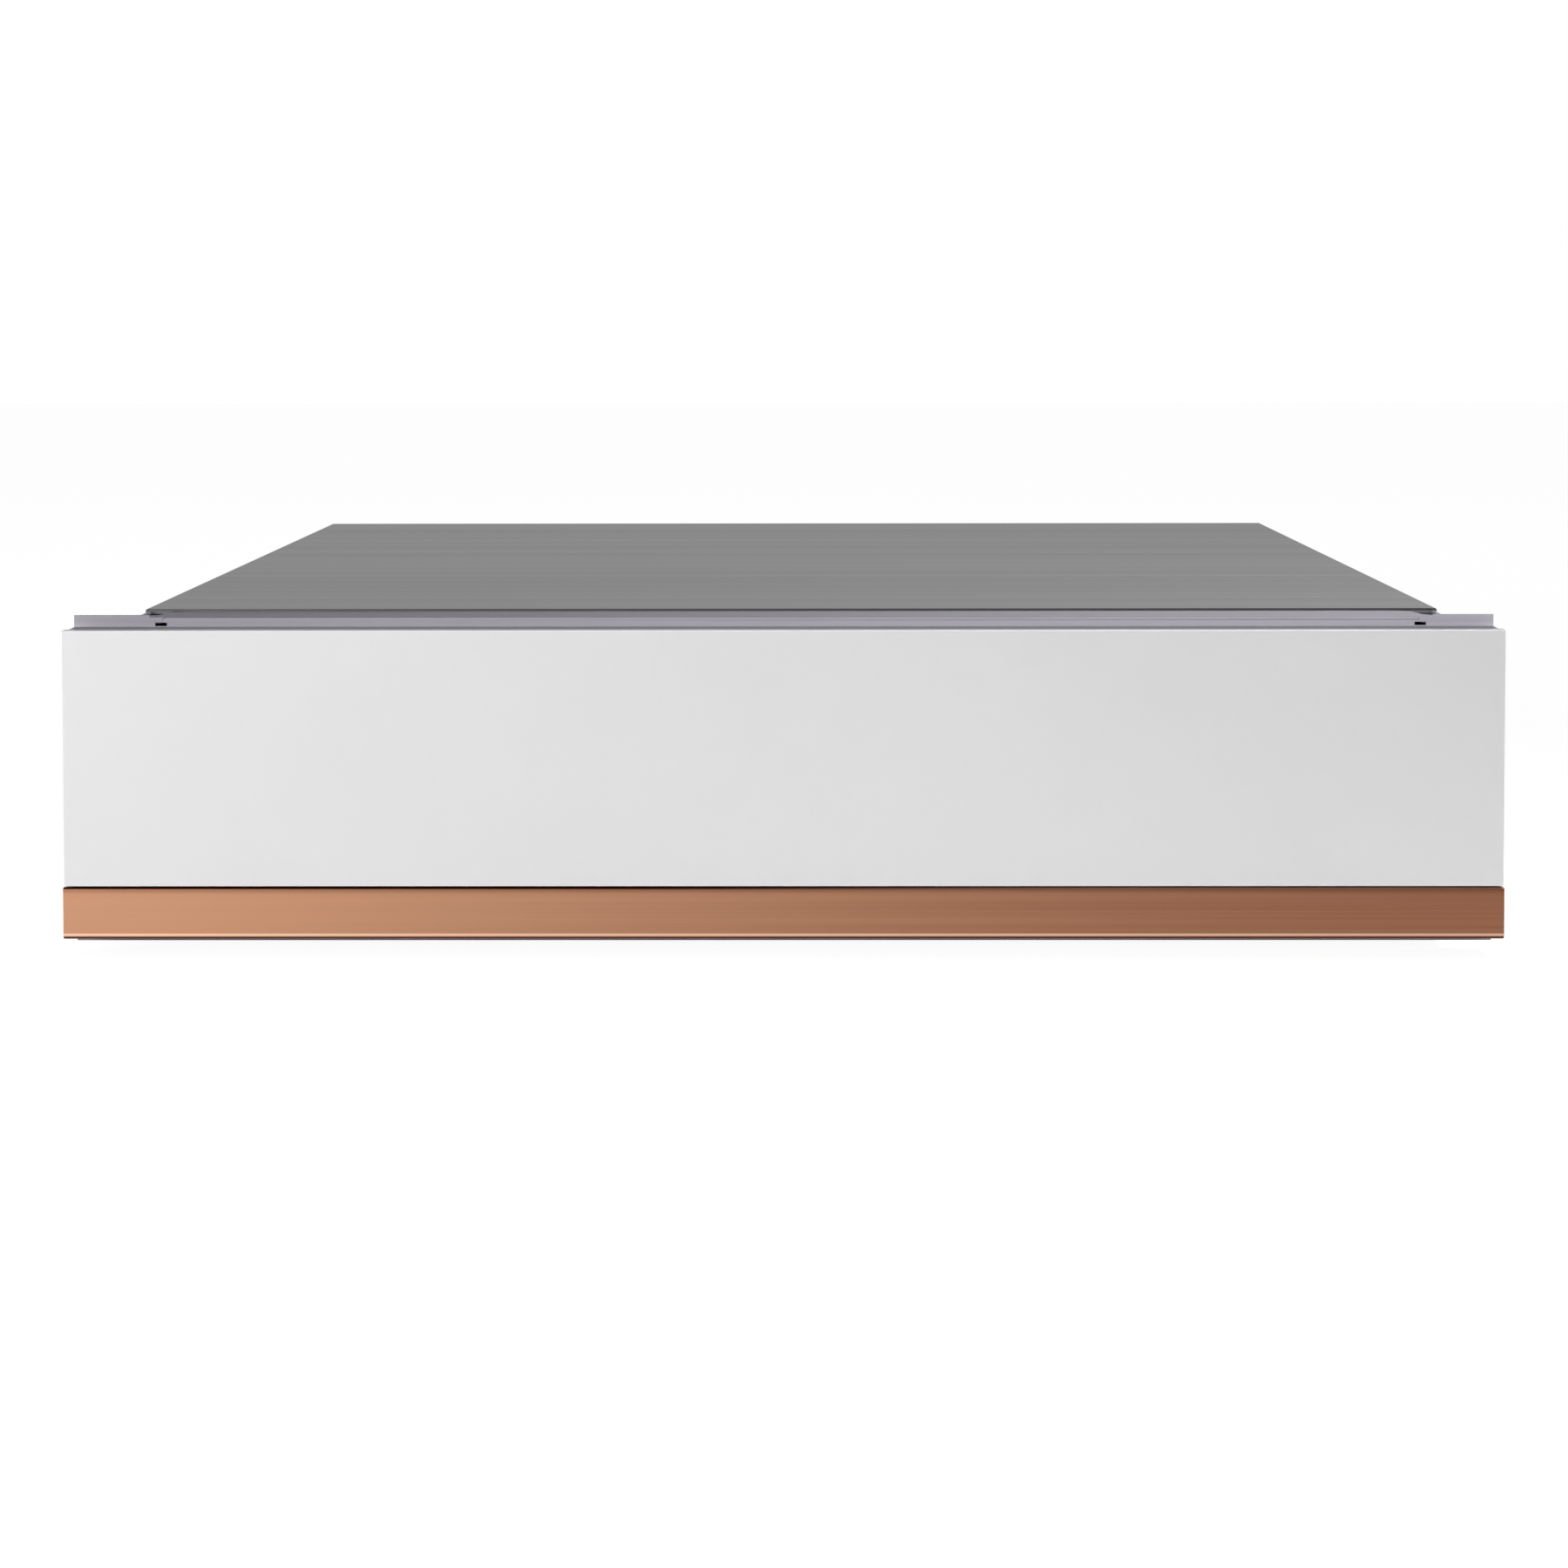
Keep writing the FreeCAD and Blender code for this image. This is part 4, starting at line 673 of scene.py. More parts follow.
class Stock:
    """Makers of closed stock shapes, each given back as a mesh."""

    @staticmethod
    def taken(shape: Shape) -> Mesh:
        """Close a shape up, turn its faces outwards and give it back as a mesh."""
        bmesh.ops.remove_doubles(shape, verts=shape.verts[:], dist=1e-7)
        bmesh.ops.recalc_face_normals(shape, faces=shape.faces[:])
        mesh = bpy.data.meshes.new("stock")
        shape.to_mesh(mesh)
        shape.free()
        return mesh

    @staticmethod
    def ring(shape: Shape, radius: float, height: float, count: int) -> list[bmesh.types.BMVert]:
        """Points round Z at one height; on the axis it is one point, named for every place."""
        if radius < 1e-9:
            return [shape.verts.new((0.0, 0.0, height))] * count
        angles = [2 * math.pi * index / count for index in range(count)]
        return [shape.verts.new((radius * math.cos(a), radius * math.sin(a), height)) for a in angles]

    @staticmethod
    def skin(shape: Shape, low: Sequence[bmesh.types.BMVert],
             high: Sequence[bmesh.types.BMVert]) -> None:
        """Faces between two rings with as many points."""
        for index in range(len(low)):
            after = (index + 1) % len(low)
            corners = list(dict.fromkeys((low[index], low[after], high[after], high[index])))
            if len(corners) > 2:
                shape.faces.new(corners)

    @staticmethod
    def softened(shape: Shape, soft: float, steps: int = 2, angle: float = 40.0) -> None:
        """Round every edge that is sharper than an angle."""
        if soft <= 0:
            return
        sharp = [edge for edge in shape.edges
                 if len(edge.link_faces) == 2 and edge.calc_face_angle() > math.radians(angle)]
        bmesh.ops.bevel(shape, geom=sharp, offset=soft, segments=steps, profile=0.5, affect="EDGES",
                        clamp_overlap=True)

    @classmethod
    def slab(cls, low: Sequence[float], high: Sequence[float], soft: float = 0.0, steps: int = 2) -> Mesh:
        """A block between two corners, with softened edges."""
        shape = bmesh.new()
        bmesh.ops.create_cube(shape, size=1.0)
        for vert in shape.verts:
            vert.co = [a + (b - a) * (share + 0.5) for a, b, share in zip(low, high, vert.co)]
        cls.softened(shape, soft, steps)
        return cls.taken(shape)

    @classmethod
    def profile(cls, outline: Outline, axis: Axis, start: float, end: float,
                soft: float = 0.0, steps: int = 2, angle: float = 40.0) -> Mesh:
        """An outline drawn out along an axis.

        Args:
            outline: Corners in the plane across the axis.
            axis: The direction that it is drawn out along.
            start: Where it starts on that axis.
            end: Where it ends.
            soft: Radius of its softened edges.
            steps: Faces round a softened edge.
            angle: Edges sharper than this, in degrees, are softened.

        Returns:
            The closed mesh.
        """
        shape = bmesh.new()
        rings = []
        for place in (start, end):
            points = [dict(zip(axis.value, (*corner, place))) for corner in outline]
            rings.append([shape.verts.new([point[index] for index in range(3)]) for point in points])
            shape.faces.new(rings[-1])
        cls.skin(shape, *rings)
        bmesh.ops.recalc_face_normals(shape, faces=shape.faces[:])
        cls.softened(shape, soft, steps, angle)
        return cls.taken(shape)

    @classmethod
    def turned(cls, section: Outline, count: int = 32) -> Mesh:
        """A section of (radius, height) points turned about Z; it ends on the axis or closes itself."""
        shape = bmesh.new()
        rings = [cls.ring(shape, radius, height, count) for radius, height in section]
        pairs = list(zip(rings, rings[1:]))
        if section[0][0] > 1e-9:
            pairs.append((rings[-1], rings[0]))
        for low, high in pairs:
            cls.skin(shape, low, high)
        return cls.taken(shape)


def arc(centre: Corner, radius: float, start: float, end: float,
        steps: int) -> list[Corner]:
    """Points on an arc, with its angles in degrees."""
    angles = [math.radians(start + (end - start) * index / steps) for index in range(steps + 1)]
    return [(centre[0] + radius * math.cos(a), centre[1] + radius * math.sin(a)) for a in angles]


def rounded(low: Sequence[float], high: Sequence[float], radius: float,
            steps: int = 8) -> list[Corner]:
    """The outline of a rectangle with round corners."""
    left, right, near, far = low[0] + radius, high[0] - radius, low[1] + radius, high[1] - radius
    corners = ((right, near, -90), (right, far, 0), (left, far, 90), (left, near, 180))
    outline = []
    for x, y, start in corners:
        outline += arc((x, y), radius, start, start + 90, steps)
    return outline


def again(points: Outline, count: int, step: Corner) -> list[Corner]:
    """Points repeated a number of times, each time a step further."""
    return [(x + index * step[0], y + index * step[1]) for index in range(count) for x, y in points]


def turned_to(facing: Sequence[float], where: Sequence[float]) -> Matrix:
    """Moves a shape to a place and turns its Z to a direction."""
    return Matrix.Translation(where) @ Vector(facing).to_track_quat("Z", "Y").to_matrix().to_4x4()


def hexagon(radius: float) -> list[Corner]:
    """The outline of a hexagon about the origin."""
    return arc((0, 0), radius, 0, 300, 5)


def left_end(low: Vector, high: Vector) -> Vector:
    """Middle of a box's left face."""
    return Vector((low.x, (low.y + high.y) / 2, (low.z + high.z) / 2))


def islands(node: bpy.types.Object) -> list[tuple[Vector, Vector]]:
    """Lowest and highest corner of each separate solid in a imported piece."""
    shape = bmesh.new()
    shape.from_mesh(node.data)
    bmesh.ops.remove_doubles(shape, verts=shape.verts[:], dist=1e-6)
    left = set(shape.verts)
    boxes = []
    while left:
        reached = [left.pop()]
        found = list(reached)
        while reached:
            vert = reached.pop()
            for edge in vert.link_edges:
                other = edge.other_vert(vert)
                if other in left:
                    left.remove(other)
                    reached.append(other)
                    found.append(other)
        boxes.append(tuple(Vector([end(vert.co[index] for vert in found) for index in range(3)])
                           for end in (min, max)))
    shape.free()
    return sorted(boxes, key=lambda box: tuple(round(part, 5) for part in box[0]))


def round_solids(node: bpy.types.Object) -> tuple[float, float, list[Seat]]:
    """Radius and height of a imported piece's equal round solids, and the seat that each stands on."""
    boxes = islands(node)
    low, high = boxes[0]
    seats = [(((a.x + b.x) / 2, (a.y + b.y) / 2, a.z), UP) for a, b in boxes]
    return (high.x - low.x) / 2, high.z - low.z, seats


class ShapeTree:
    """A Geometry Nodes tree with named inputs."""

    def __init__(self, name: str, sockets: dict[str, str]) -> None:
        """Start the tree with its sockets.

        Args:
            name: The tree's name.
            sockets: The kind of each input, by the input's name.
        """
        self.tree = bpy.data.node_groups.new(name, "GeometryNodeTree")
        make = self.tree.interface.new_socket
        self.inputs = {label: make(name=label, in_out="INPUT", socket_type="NodeSocket" + kind)
                       for label, kind in sockets.items()}
        make(name="Geometry", in_out="OUTPUT", socket_type="NodeSocketGeometry")
        self.node = Graph(self.tree).node
        self.given = self.node("NodeGroupInput").outputs

    def _put_out(self, geometry: bpy.types.NodeSocket) -> None:
        """Put the result out, in its finish where the tree is given one."""
        if "Finish" in self.inputs:
            sockets = {"Geometry": geometry, "Material": self.given["Finish"]}
            geometry = self.node("GeometryNodeSetMaterial", sockets=sockets).outputs[0]
        self.node("NodeGroupOutput", sockets={"Geometry": geometry})

    def _evaluate(self, carrier_mesh: Mesh, pattern_mesh: Mesh, pattern_input: str,
                  values: dict[str, object]) -> Mesh:
        """Run the tree.

        Args:
            carrier_mesh: The mesh that the tree starts from.
            pattern_mesh: The mesh of the object that it is given.
            pattern_input: The input for that object.
            values: The other inputs' values by name.

        Returns:
            The result as a plain mesh.
        """
        carrier, pattern = (bpy.data.objects.new(mesh.name, mesh) for mesh in (carrier_mesh, pattern_mesh))
        for made in (carrier, pattern):
            bpy.context.collection.objects.link(made)
        modifier = carrier.modifiers.new("shape_tree", "NODES")
        modifier.node_group = self.tree
        for name, value in {pattern_input: pattern, **values}.items():
            modifier[self.inputs[name].identifier] = value
        bpy.context.view_layer.update()
        mesh = bpy.data.meshes.new_from_object(carrier.evaluated_get(bpy.context.evaluated_depsgraph_get()))
        carrier.modifiers.remove(modifier)
        for made in (carrier, pattern):
            bpy.data.objects.remove(made)
        return mesh


class Layout(Enum):
    """How a repeated shape is laid out."""

    PLACES = "places"
    ROW = "row"
    RING = "ring"


class Repeater(ShapeTree):
    """Repeats a shape at places, in a row or in a ring."""

    def __init__(self, layout: Layout) -> None:
        """Build the tree.

        Args:
            layout: How the shape is laid out.
        """
        super().__init__("repeat_" + layout.value, {"Geometry": "Geometry", "Shape": "Object", "Count": "Int",
                                                    "Step": "Vector", "Radius": "Float", "Finish": "Material"})
        points, turn = self._points(layout)
        shape = self.node("GeometryNodeObjectInfo", sockets={"Object": self.given["Shape"]})
        sockets = {"Points": points, "Instance": shape.outputs["Geometry"]}
        if turn:
            sockets["Rotation"] = turn.outputs[0]
        laid = self.node("GeometryNodeInstanceOnPoints", sockets=sockets)
        real = self.node("GeometryNodeRealizeInstances", sockets={"Geometry": laid.outputs[0]})
        self._put_out(real.outputs[0])

    @classmethod
    @cache
    def of(cls, layout: Layout) -> Repeater:
        """The tree for a layout, built when it is first asked for."""
        return cls(layout)

    def _points(self, layout: Layout) -> tuple[bpy.types.NodeSocket, bpy.types.Node | None]:
        """Where the copies go and, unless they stand in a row, the node that turns them."""
        given, align = self.given, "FunctionNodeAlignRotationToVector"
        if layout is Layout.ROW:
            sockets = {"Count": given["Count"], "Offset": given["Step"]}
            return self.node("GeometryNodeMeshLine", {"mode": "OFFSET"}, sockets).outputs["Mesh"], None
        if layout is Layout.RING:
            sockets = {"Vertices": given["Count"], "Radius": given["Radius"]}
            where = self.node("GeometryNodeInputPosition").outputs[0]
            turn = self.node(align, {"axis": "X", "pivot_axis": "Z"}, {"Vector": where})
            return self.node("GeometryNodeMeshCircle", sockets=sockets).outputs["Mesh"], turn
        facing = self.node("GeometryNodeInputNamedAttribute", {"data_type": "FLOAT_VECTOR"}, {"Name": "facing"})
        return given["Geometry"], self.node(align, {"axis": "Z"}, {"Vector": facing.outputs[0]})

    def run(self, shape: Mesh, finish: Finish, seats: Sequence[Seat] = (), **sizes: object) -> Mesh:
        """Repeat a shape.

        Args:
            shape: The mesh to repeat; it is used up.
            finish: What the copies are made of.
            seats: A point and the direction of the shape's Z for each copy, for places only.
            sizes: Count, Step and Radius, as the layout needs them.

        Returns:
            One plain mesh with every copy.
        """
        carrier = bpy.data.meshes.new("carrier")
        carrier.from_pydata([tuple(where) for where, _ in seats], [], [])
        facing = carrier.attributes.new("facing", "FLOAT_VECTOR", "POINT")
        for index, (_, direction) in enumerate(seats):
            facing.data[index].vector = direction
        return self._evaluate(carrier, shape, "Shape", {"Finish": finish.material(), **sizes})


class Sweeper(ShapeTree):
    """Draws a section round a path."""

    def __init__(self) -> None:
        """Build the tree."""
        super().__init__("sweep_section", {"Geometry": "Geometry", "Section": "Object", "Finish": "Material"})
        node, given = self.node, self.given
        path = node("GeometryNodeMeshToCurve", sockets={"Mesh": given["Geometry"]})
        level = node("GeometryNodeSetCurveNormal", {"mode": "Z_UP"}, {"Curve": path.outputs[0]})
        info = node("GeometryNodeObjectInfo", sockets={"Object": given["Section"]})
        section = node("GeometryNodeMeshToCurve", sockets={"Mesh": info.outputs["Geometry"]})
        drawn = node("GeometryNodeCurveToMesh", sockets={"Curve": level.outputs[0], "Fill Caps": True,
                                                         "Profile Curve": section.outputs[0]})
        self._put_out(drawn.outputs[0])

    def run(self, path: Sequence[Sequence[float]], section: Outline, finish: Finish) -> Mesh:
        """Draw a section round a closed path.

        Args:
            path: Points of the path.
            section: Corners of the section, across and up.
            finish: What it is made of.

        Returns:
            The closed mesh.
        """
        made = []
        for name, points in (("path", path), ("section", [(x, y, 0.0) for x, y in section])):
            mesh = bpy.data.meshes.new(name)
            edges = [(index, (index + 1) % len(points)) for index in range(len(points))]
            mesh.from_pydata([tuple(point) for point in points], edges, [])
            made.append(mesh)
        return self._evaluate(*made, "Section", {"Finish": finish.material()})


class AngleSmoother(ShapeTree):
    """Shades smooth, apart from sharp edges."""

    def __init__(self) -> None:
        """Build the tree."""
        super().__init__("smooth_by_angle", {"Geometry": "Geometry"})
        angle = self.node("GeometryNodeInputMeshEdgeAngle").outputs["Unsigned Angle"]
        sharp = self.node("FunctionNodeCompare", {"data_type": "FLOAT", "operation": "GREATER_THAN"},
                          {0: angle, 1: Piece.smooth_angle})
        smooth = self.node("GeometryNodeSetShadeSmooth", sockets={"Geometry": self.given[0]})
        edges = self.node("GeometryNodeSetShadeSmooth", {"domain": "EDGE"},
                          {"Geometry": smooth.outputs[0], "Selection": sharp.outputs[0], "Shade Smooth": False})
        self._put_out(edges.outputs[0])


class Piece:
    """One visible piece, put together from stock shapes."""

    smooth_angle = math.radians(32)

    def __init__(self, name: str) -> None:
        """Start an empty piece.

        Args:
            name: The piece's name.
        """
        self.name = name
        self.shape = bmesh.new()
        self.finishes: list[Finish] = []

    def add(self, mesh: Mesh, finish: Finish, turn: Matrix | None = None) -> None:
        """Add a shape.

        Args:
            mesh: The shape; it is used up.
            finish: What it is made of.
            turn: Moves and turns it to its place.
        """
        if turn:
            mesh.transform(turn)
        first, slot = len(self.shape.faces), self._slot(finish)
        self.shape.from_mesh(mesh)
        self.shape.faces.ensure_lookup_table()
        for face in self.shape.faces[first:]:
            face.material_index = slot
        bpy.data.meshes.remove(mesh)

    def stand(self, mesh: Mesh, finish: Finish, seats: Sequence[Seat], turn: Matrix | None = None) -> None:
        """Add a copy of a shape on each seat, with its Z in the seat's direction."""
        self.add(Repeater.of(Layout.PLACES).run(mesh, finish, seats), finish, turn)

    def row(self, mesh: Mesh, finish: Finish, count: int, step: Place,
            start: Sequence[float] = (0, 0, 0)) -> None:
        """Add a row of copies of a shape, a step apart."""
        self.add(Repeater.of(Layout.ROW).run(mesh, finish, Count=count, Step=step), finish,
                 Matrix.Translation(start))

    def ring(self, mesh: Mesh, finish: Finish, count: int, radius: float, turn: Matrix) -> None:
        """Add copies of a shape in a ring round Z, then turned to its place."""
        self.add(Repeater.of(Layout.RING).run(mesh, finish, Count=count, Radius=radius), finish, turn)

    def repaint(self, finish: Finish, chosen: Callable[[bmesh.types.BMFace], bool]) -> None:
        """Give the chosen faces another finish."""
        slot = self._slot(finish)
        self.shape.normal_update()
        for face in self.shape.faces:
            if chosen(face):
                face.material_index = slot

    def _slot(self, finish: Finish) -> int:
        """Number of a finish among those of the piece, to which a new one is added."""
        if finish not in self.finishes:
            self.finishes.append(finish)
        return self.finishes.index(finish)

    def fit(self, body: str, slot: str, *nodes: str) -> bpy.types.Object:
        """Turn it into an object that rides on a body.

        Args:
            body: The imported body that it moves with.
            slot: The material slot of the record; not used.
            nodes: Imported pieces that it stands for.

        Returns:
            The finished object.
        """
        mesh = bpy.data.meshes.new(self.name)
        self.shape.to_mesh(mesh)
        self.shape.free()
        for finish in self.finishes:
            mesh.materials.append(finish.material())
        mesh.shade_smooth()
        mesh.set_sharp_from_angle(angle=self.smooth_angle)
        made = bpy.data.objects.new(self.name, mesh)
        bpy.context.collection.objects.link(made)
        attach(made, body)
        weighted = made.modifiers.new("flat_face_normals", "WEIGHTED_NORMAL")
        weighted.keep_sharp = True
        if nodes:
            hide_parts(*nodes)
        LOG.info("%s: %d faces on %s", self.name, len(mesh.polygons), body)
        return made


@dataclass
class Construction:
    """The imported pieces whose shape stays, with their finishes and soft edges."""

    nodes: dict[str, bpy.types.Object]
    soft_edge: float = 0.15 * MM
    weld: float = 0.001 * MM
    soft: tuple[str, ...] = (
        "base_tray", "rear_panel", "top_cover", "drawer_tray", "deck_plate", "door_carrier", "door_inner_panel",
        "lid_clamp_rail", "hinge_brackets", "seal_bar", "mains_inlet", "terminal_box", "push_latch_housing",
        "valve_block", "pump_bracket", "cooling_fan_frame", "rear_deck_cover", "strike_plate", "hinge_pins",
        "hinge_dampers", "chamber_tub", "suction_filter", "seal_cylinders", "door_bumpers", "push_latch_plunger",
        "vacuum_hoses")

    def dress(self) -> None:
        """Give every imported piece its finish, and soft edges where it has none of its own."""
        smoother = AngleSmoother().tree
        for finish, names in NODE_FINISHES.items():
            for name in names:
                mesh = self.nodes[name].data
                if not mesh.materials:
                    mesh.materials.append(None)
                for index in range(len(mesh.materials)):
                    mesh.materials[index] = finish.material()
        for name in self.soft:
            self._soften(self.nodes[name], smoother)

    def _soften(self, piece: bpy.types.Object, smoother: bpy.types.NodeTree) -> None:
        """Weld the loose triangles, break the sharp edges and smooth the round faces."""
        weld = piece.modifiers.new("weld", "WELD")
        weld.merge_threshold = self.weld
        flat = piece.modifiers.new("flat_faces", "DECIMATE")
        flat.decimate_type = "DISSOLVE"
        flat.angle_limit = math.radians(0.5)
        bevel = piece.modifiers.new("soft_edges", "BEVEL")
        bevel.width = self.soft_edge
        bevel.segments = 2
        bevel.limit_method = "ANGLE"
        bevel.angle_limit = math.radians(50)
        piece.modifiers.new("smooth_faces", "NODES").node_group = smoother
        piece.modifiers.new("flat_face_normals", "WEIGHTED_NORMAL").keep_sharp = True


@dataclass
class Fasteners:
    """Cross-recess pan-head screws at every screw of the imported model."""

    nodes: dict[str, bpy.types.Object]
    head_radius: float = 3.2 * MM
    head_height: float = 1.2 * MM
    shank_radius: float = 1.5 * MM
    shank_length: float = 2.4 * MM
    recess_reach: float = 1.55 * MM
    recess_half: float = 0.34 * MM
    recess_depth: float = 0.75 * MM

    def build(self) -> None:
        """Replace both groups of screws."""
        for name, body in (("housing_screws", "housing"), ("drawer_screws", "drawer")):
            piece = Piece("cross_recess_" + name)
            piece.stand(self._screw(), SCREW_STEEL, [self._seat(*box) for box in islands(self.nodes[name])])
            piece.fit(body, "screw_steel", name)

    def _seat(self, low: Vector, high: Vector) -> tuple[Vector, Vector]:
        """Where a screw's head sits and which way it faces, from the box of its solid."""
        size, seat = high - low, (low + high) / 2
        axis = min(range(3), key=lambda index: size[index])
        outwards = self._outward(axis, seat)
        facing = Vector([outwards if index == axis else 0.0 for index in range(3)])
        seat[axis] = (high if outwards > 0 else low)[axis] - outwards * self.head_height
        return seat, facing

    def _outward(self, axis: int, middle: Vector) -> int:
        """Which way a screw on an axis faces: the drawer's side screws face its middle, others face out."""
        low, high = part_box("drawer_tray")
        inside = all(low[index] - 4 * MM < middle[index] < high[index] + 4 * MM for index in (0, 1))
        if axis == 2 or (inside and axis == 1):
            return 1
        out = 1 if middle[axis] > (low[axis] + high[axis]) / 2 else -1
        return -out if inside else out

    def _screw(self) -> Mesh:
        """A pan head with a cross recess on a short shank; its head sits at zero and faces up."""
        shape = bmesh.new()
        count = 24
        radius, height = self.head_radius, self.head_height
        section = ((self.shank_radius, -self.shank_length), (self.shank_radius, 0.0), (radius, 0.0),
                   (radius, height * 0.45), (radius * 0.93, height * 0.72), (radius * 0.80, height * 0.90),
                   (radius * 0.62, height))
        rings = [Stock.ring(shape, *point, count) for point in section]
        for low, high in zip(rings, rings[1:]):
            Stock.skin(shape, low, high)
        shape.faces.new(rings[0][::-1])
        half, reach = self.recess_half, self.recess_reach
        cross = ((half, half), (half, reach), (-half, reach), (-half, half), (-reach, half), (-reach, -half),
                 (-half, -half), (-half, -reach), (half, -reach), (half, -half), (reach, -half), (reach, half))
        upper = [shape.verts.new((x, y, self.head_height)) for x, y in cross]
        lower = [shape.verts.new((x * 0.6, y * 0.6, self.head_height - self.recess_depth)) for x, y in cross]
        Stock.skin(shape, upper, lower)
        shape.faces.new(lower)
        top = rings[-1]
        rim = [shape.edges.get((top[index], top[(index + 1) % count])) for index in range(count)]
        mouth = [shape.edges.get((upper[index], upper[(index + 1) % len(cross)])) for index in range(len(cross))]
        bmesh.ops.triangle_fill(shape, edges=rim + mouth, use_beauty=True)
        return Stock.taken(shape)


@dataclass
class DoorFront:
    """Back-painted glass and the copper-coloured strip under it."""

    arris: float = 0.45 * MM
    top_round: float = 1.0 * MM
    foot_round: float = 1.5 * MM
    front_sheet: float = 2.5 * MM
    wall: float = 1.5 * MM
    lip_drop: float = 0.6 * MM

    def build(self) -> None:
        """Build both pieces."""
        self._glass()
        self._strip()

    def _glass(self) -> None:
        """Glass pane with polished arrises that carry a painted highlight; its edges show grey."""
        low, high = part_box("front_glass")
        piece = Piece("front_glass_pane")
        piece.add(Stock.slab(low, high, self.arris, 2), FRONT_GLASS)
        piece.repaint(GLASS_EDGE, lambda face: face.normal.y > -0.2)
        piece.repaint(GLASS_ARRIS_HIGHLIGHT, lambda face: -0.97 < face.normal.y <= -0.2)
        piece.fit("drawer", "white_glass", "front_glass")

    def _strip(self) -> None:
        """Extruded strip: rounded front, lip under the glass and foot under the door."""
        low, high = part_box("copper_trim")
        front, back, foot, top = low.y, high.y, low.z, high.z
        behind = front + self.front_sheet
        lip_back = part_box("door_carrier")[0].y
        lip_top = top - self.lip_drop
        outline = [(back, foot), (back, foot + self.wall), (behind, foot + self.wall),
                   (behind, lip_top - self.wall), (lip_back, lip_top - self.wall), (lip_back, lip_top),
                   (behind, lip_top), (behind, top)]
        outline += arc((front + self.top_round, top - self.top_round), self.top_round, 90, 180, 5)
        outline += arc((front + self.foot_round, foot + self.foot_round), self.foot_round, 180, 270, 6)
        piece = Piece("copper_strip_profile")
        piece.add(Stock.profile(outline, Axis.X, low.x, high.x, 0.35 * MM, 2, 60.0), COPPER)
        piece.fit("drawer", "copper_trim", "copper_trim")


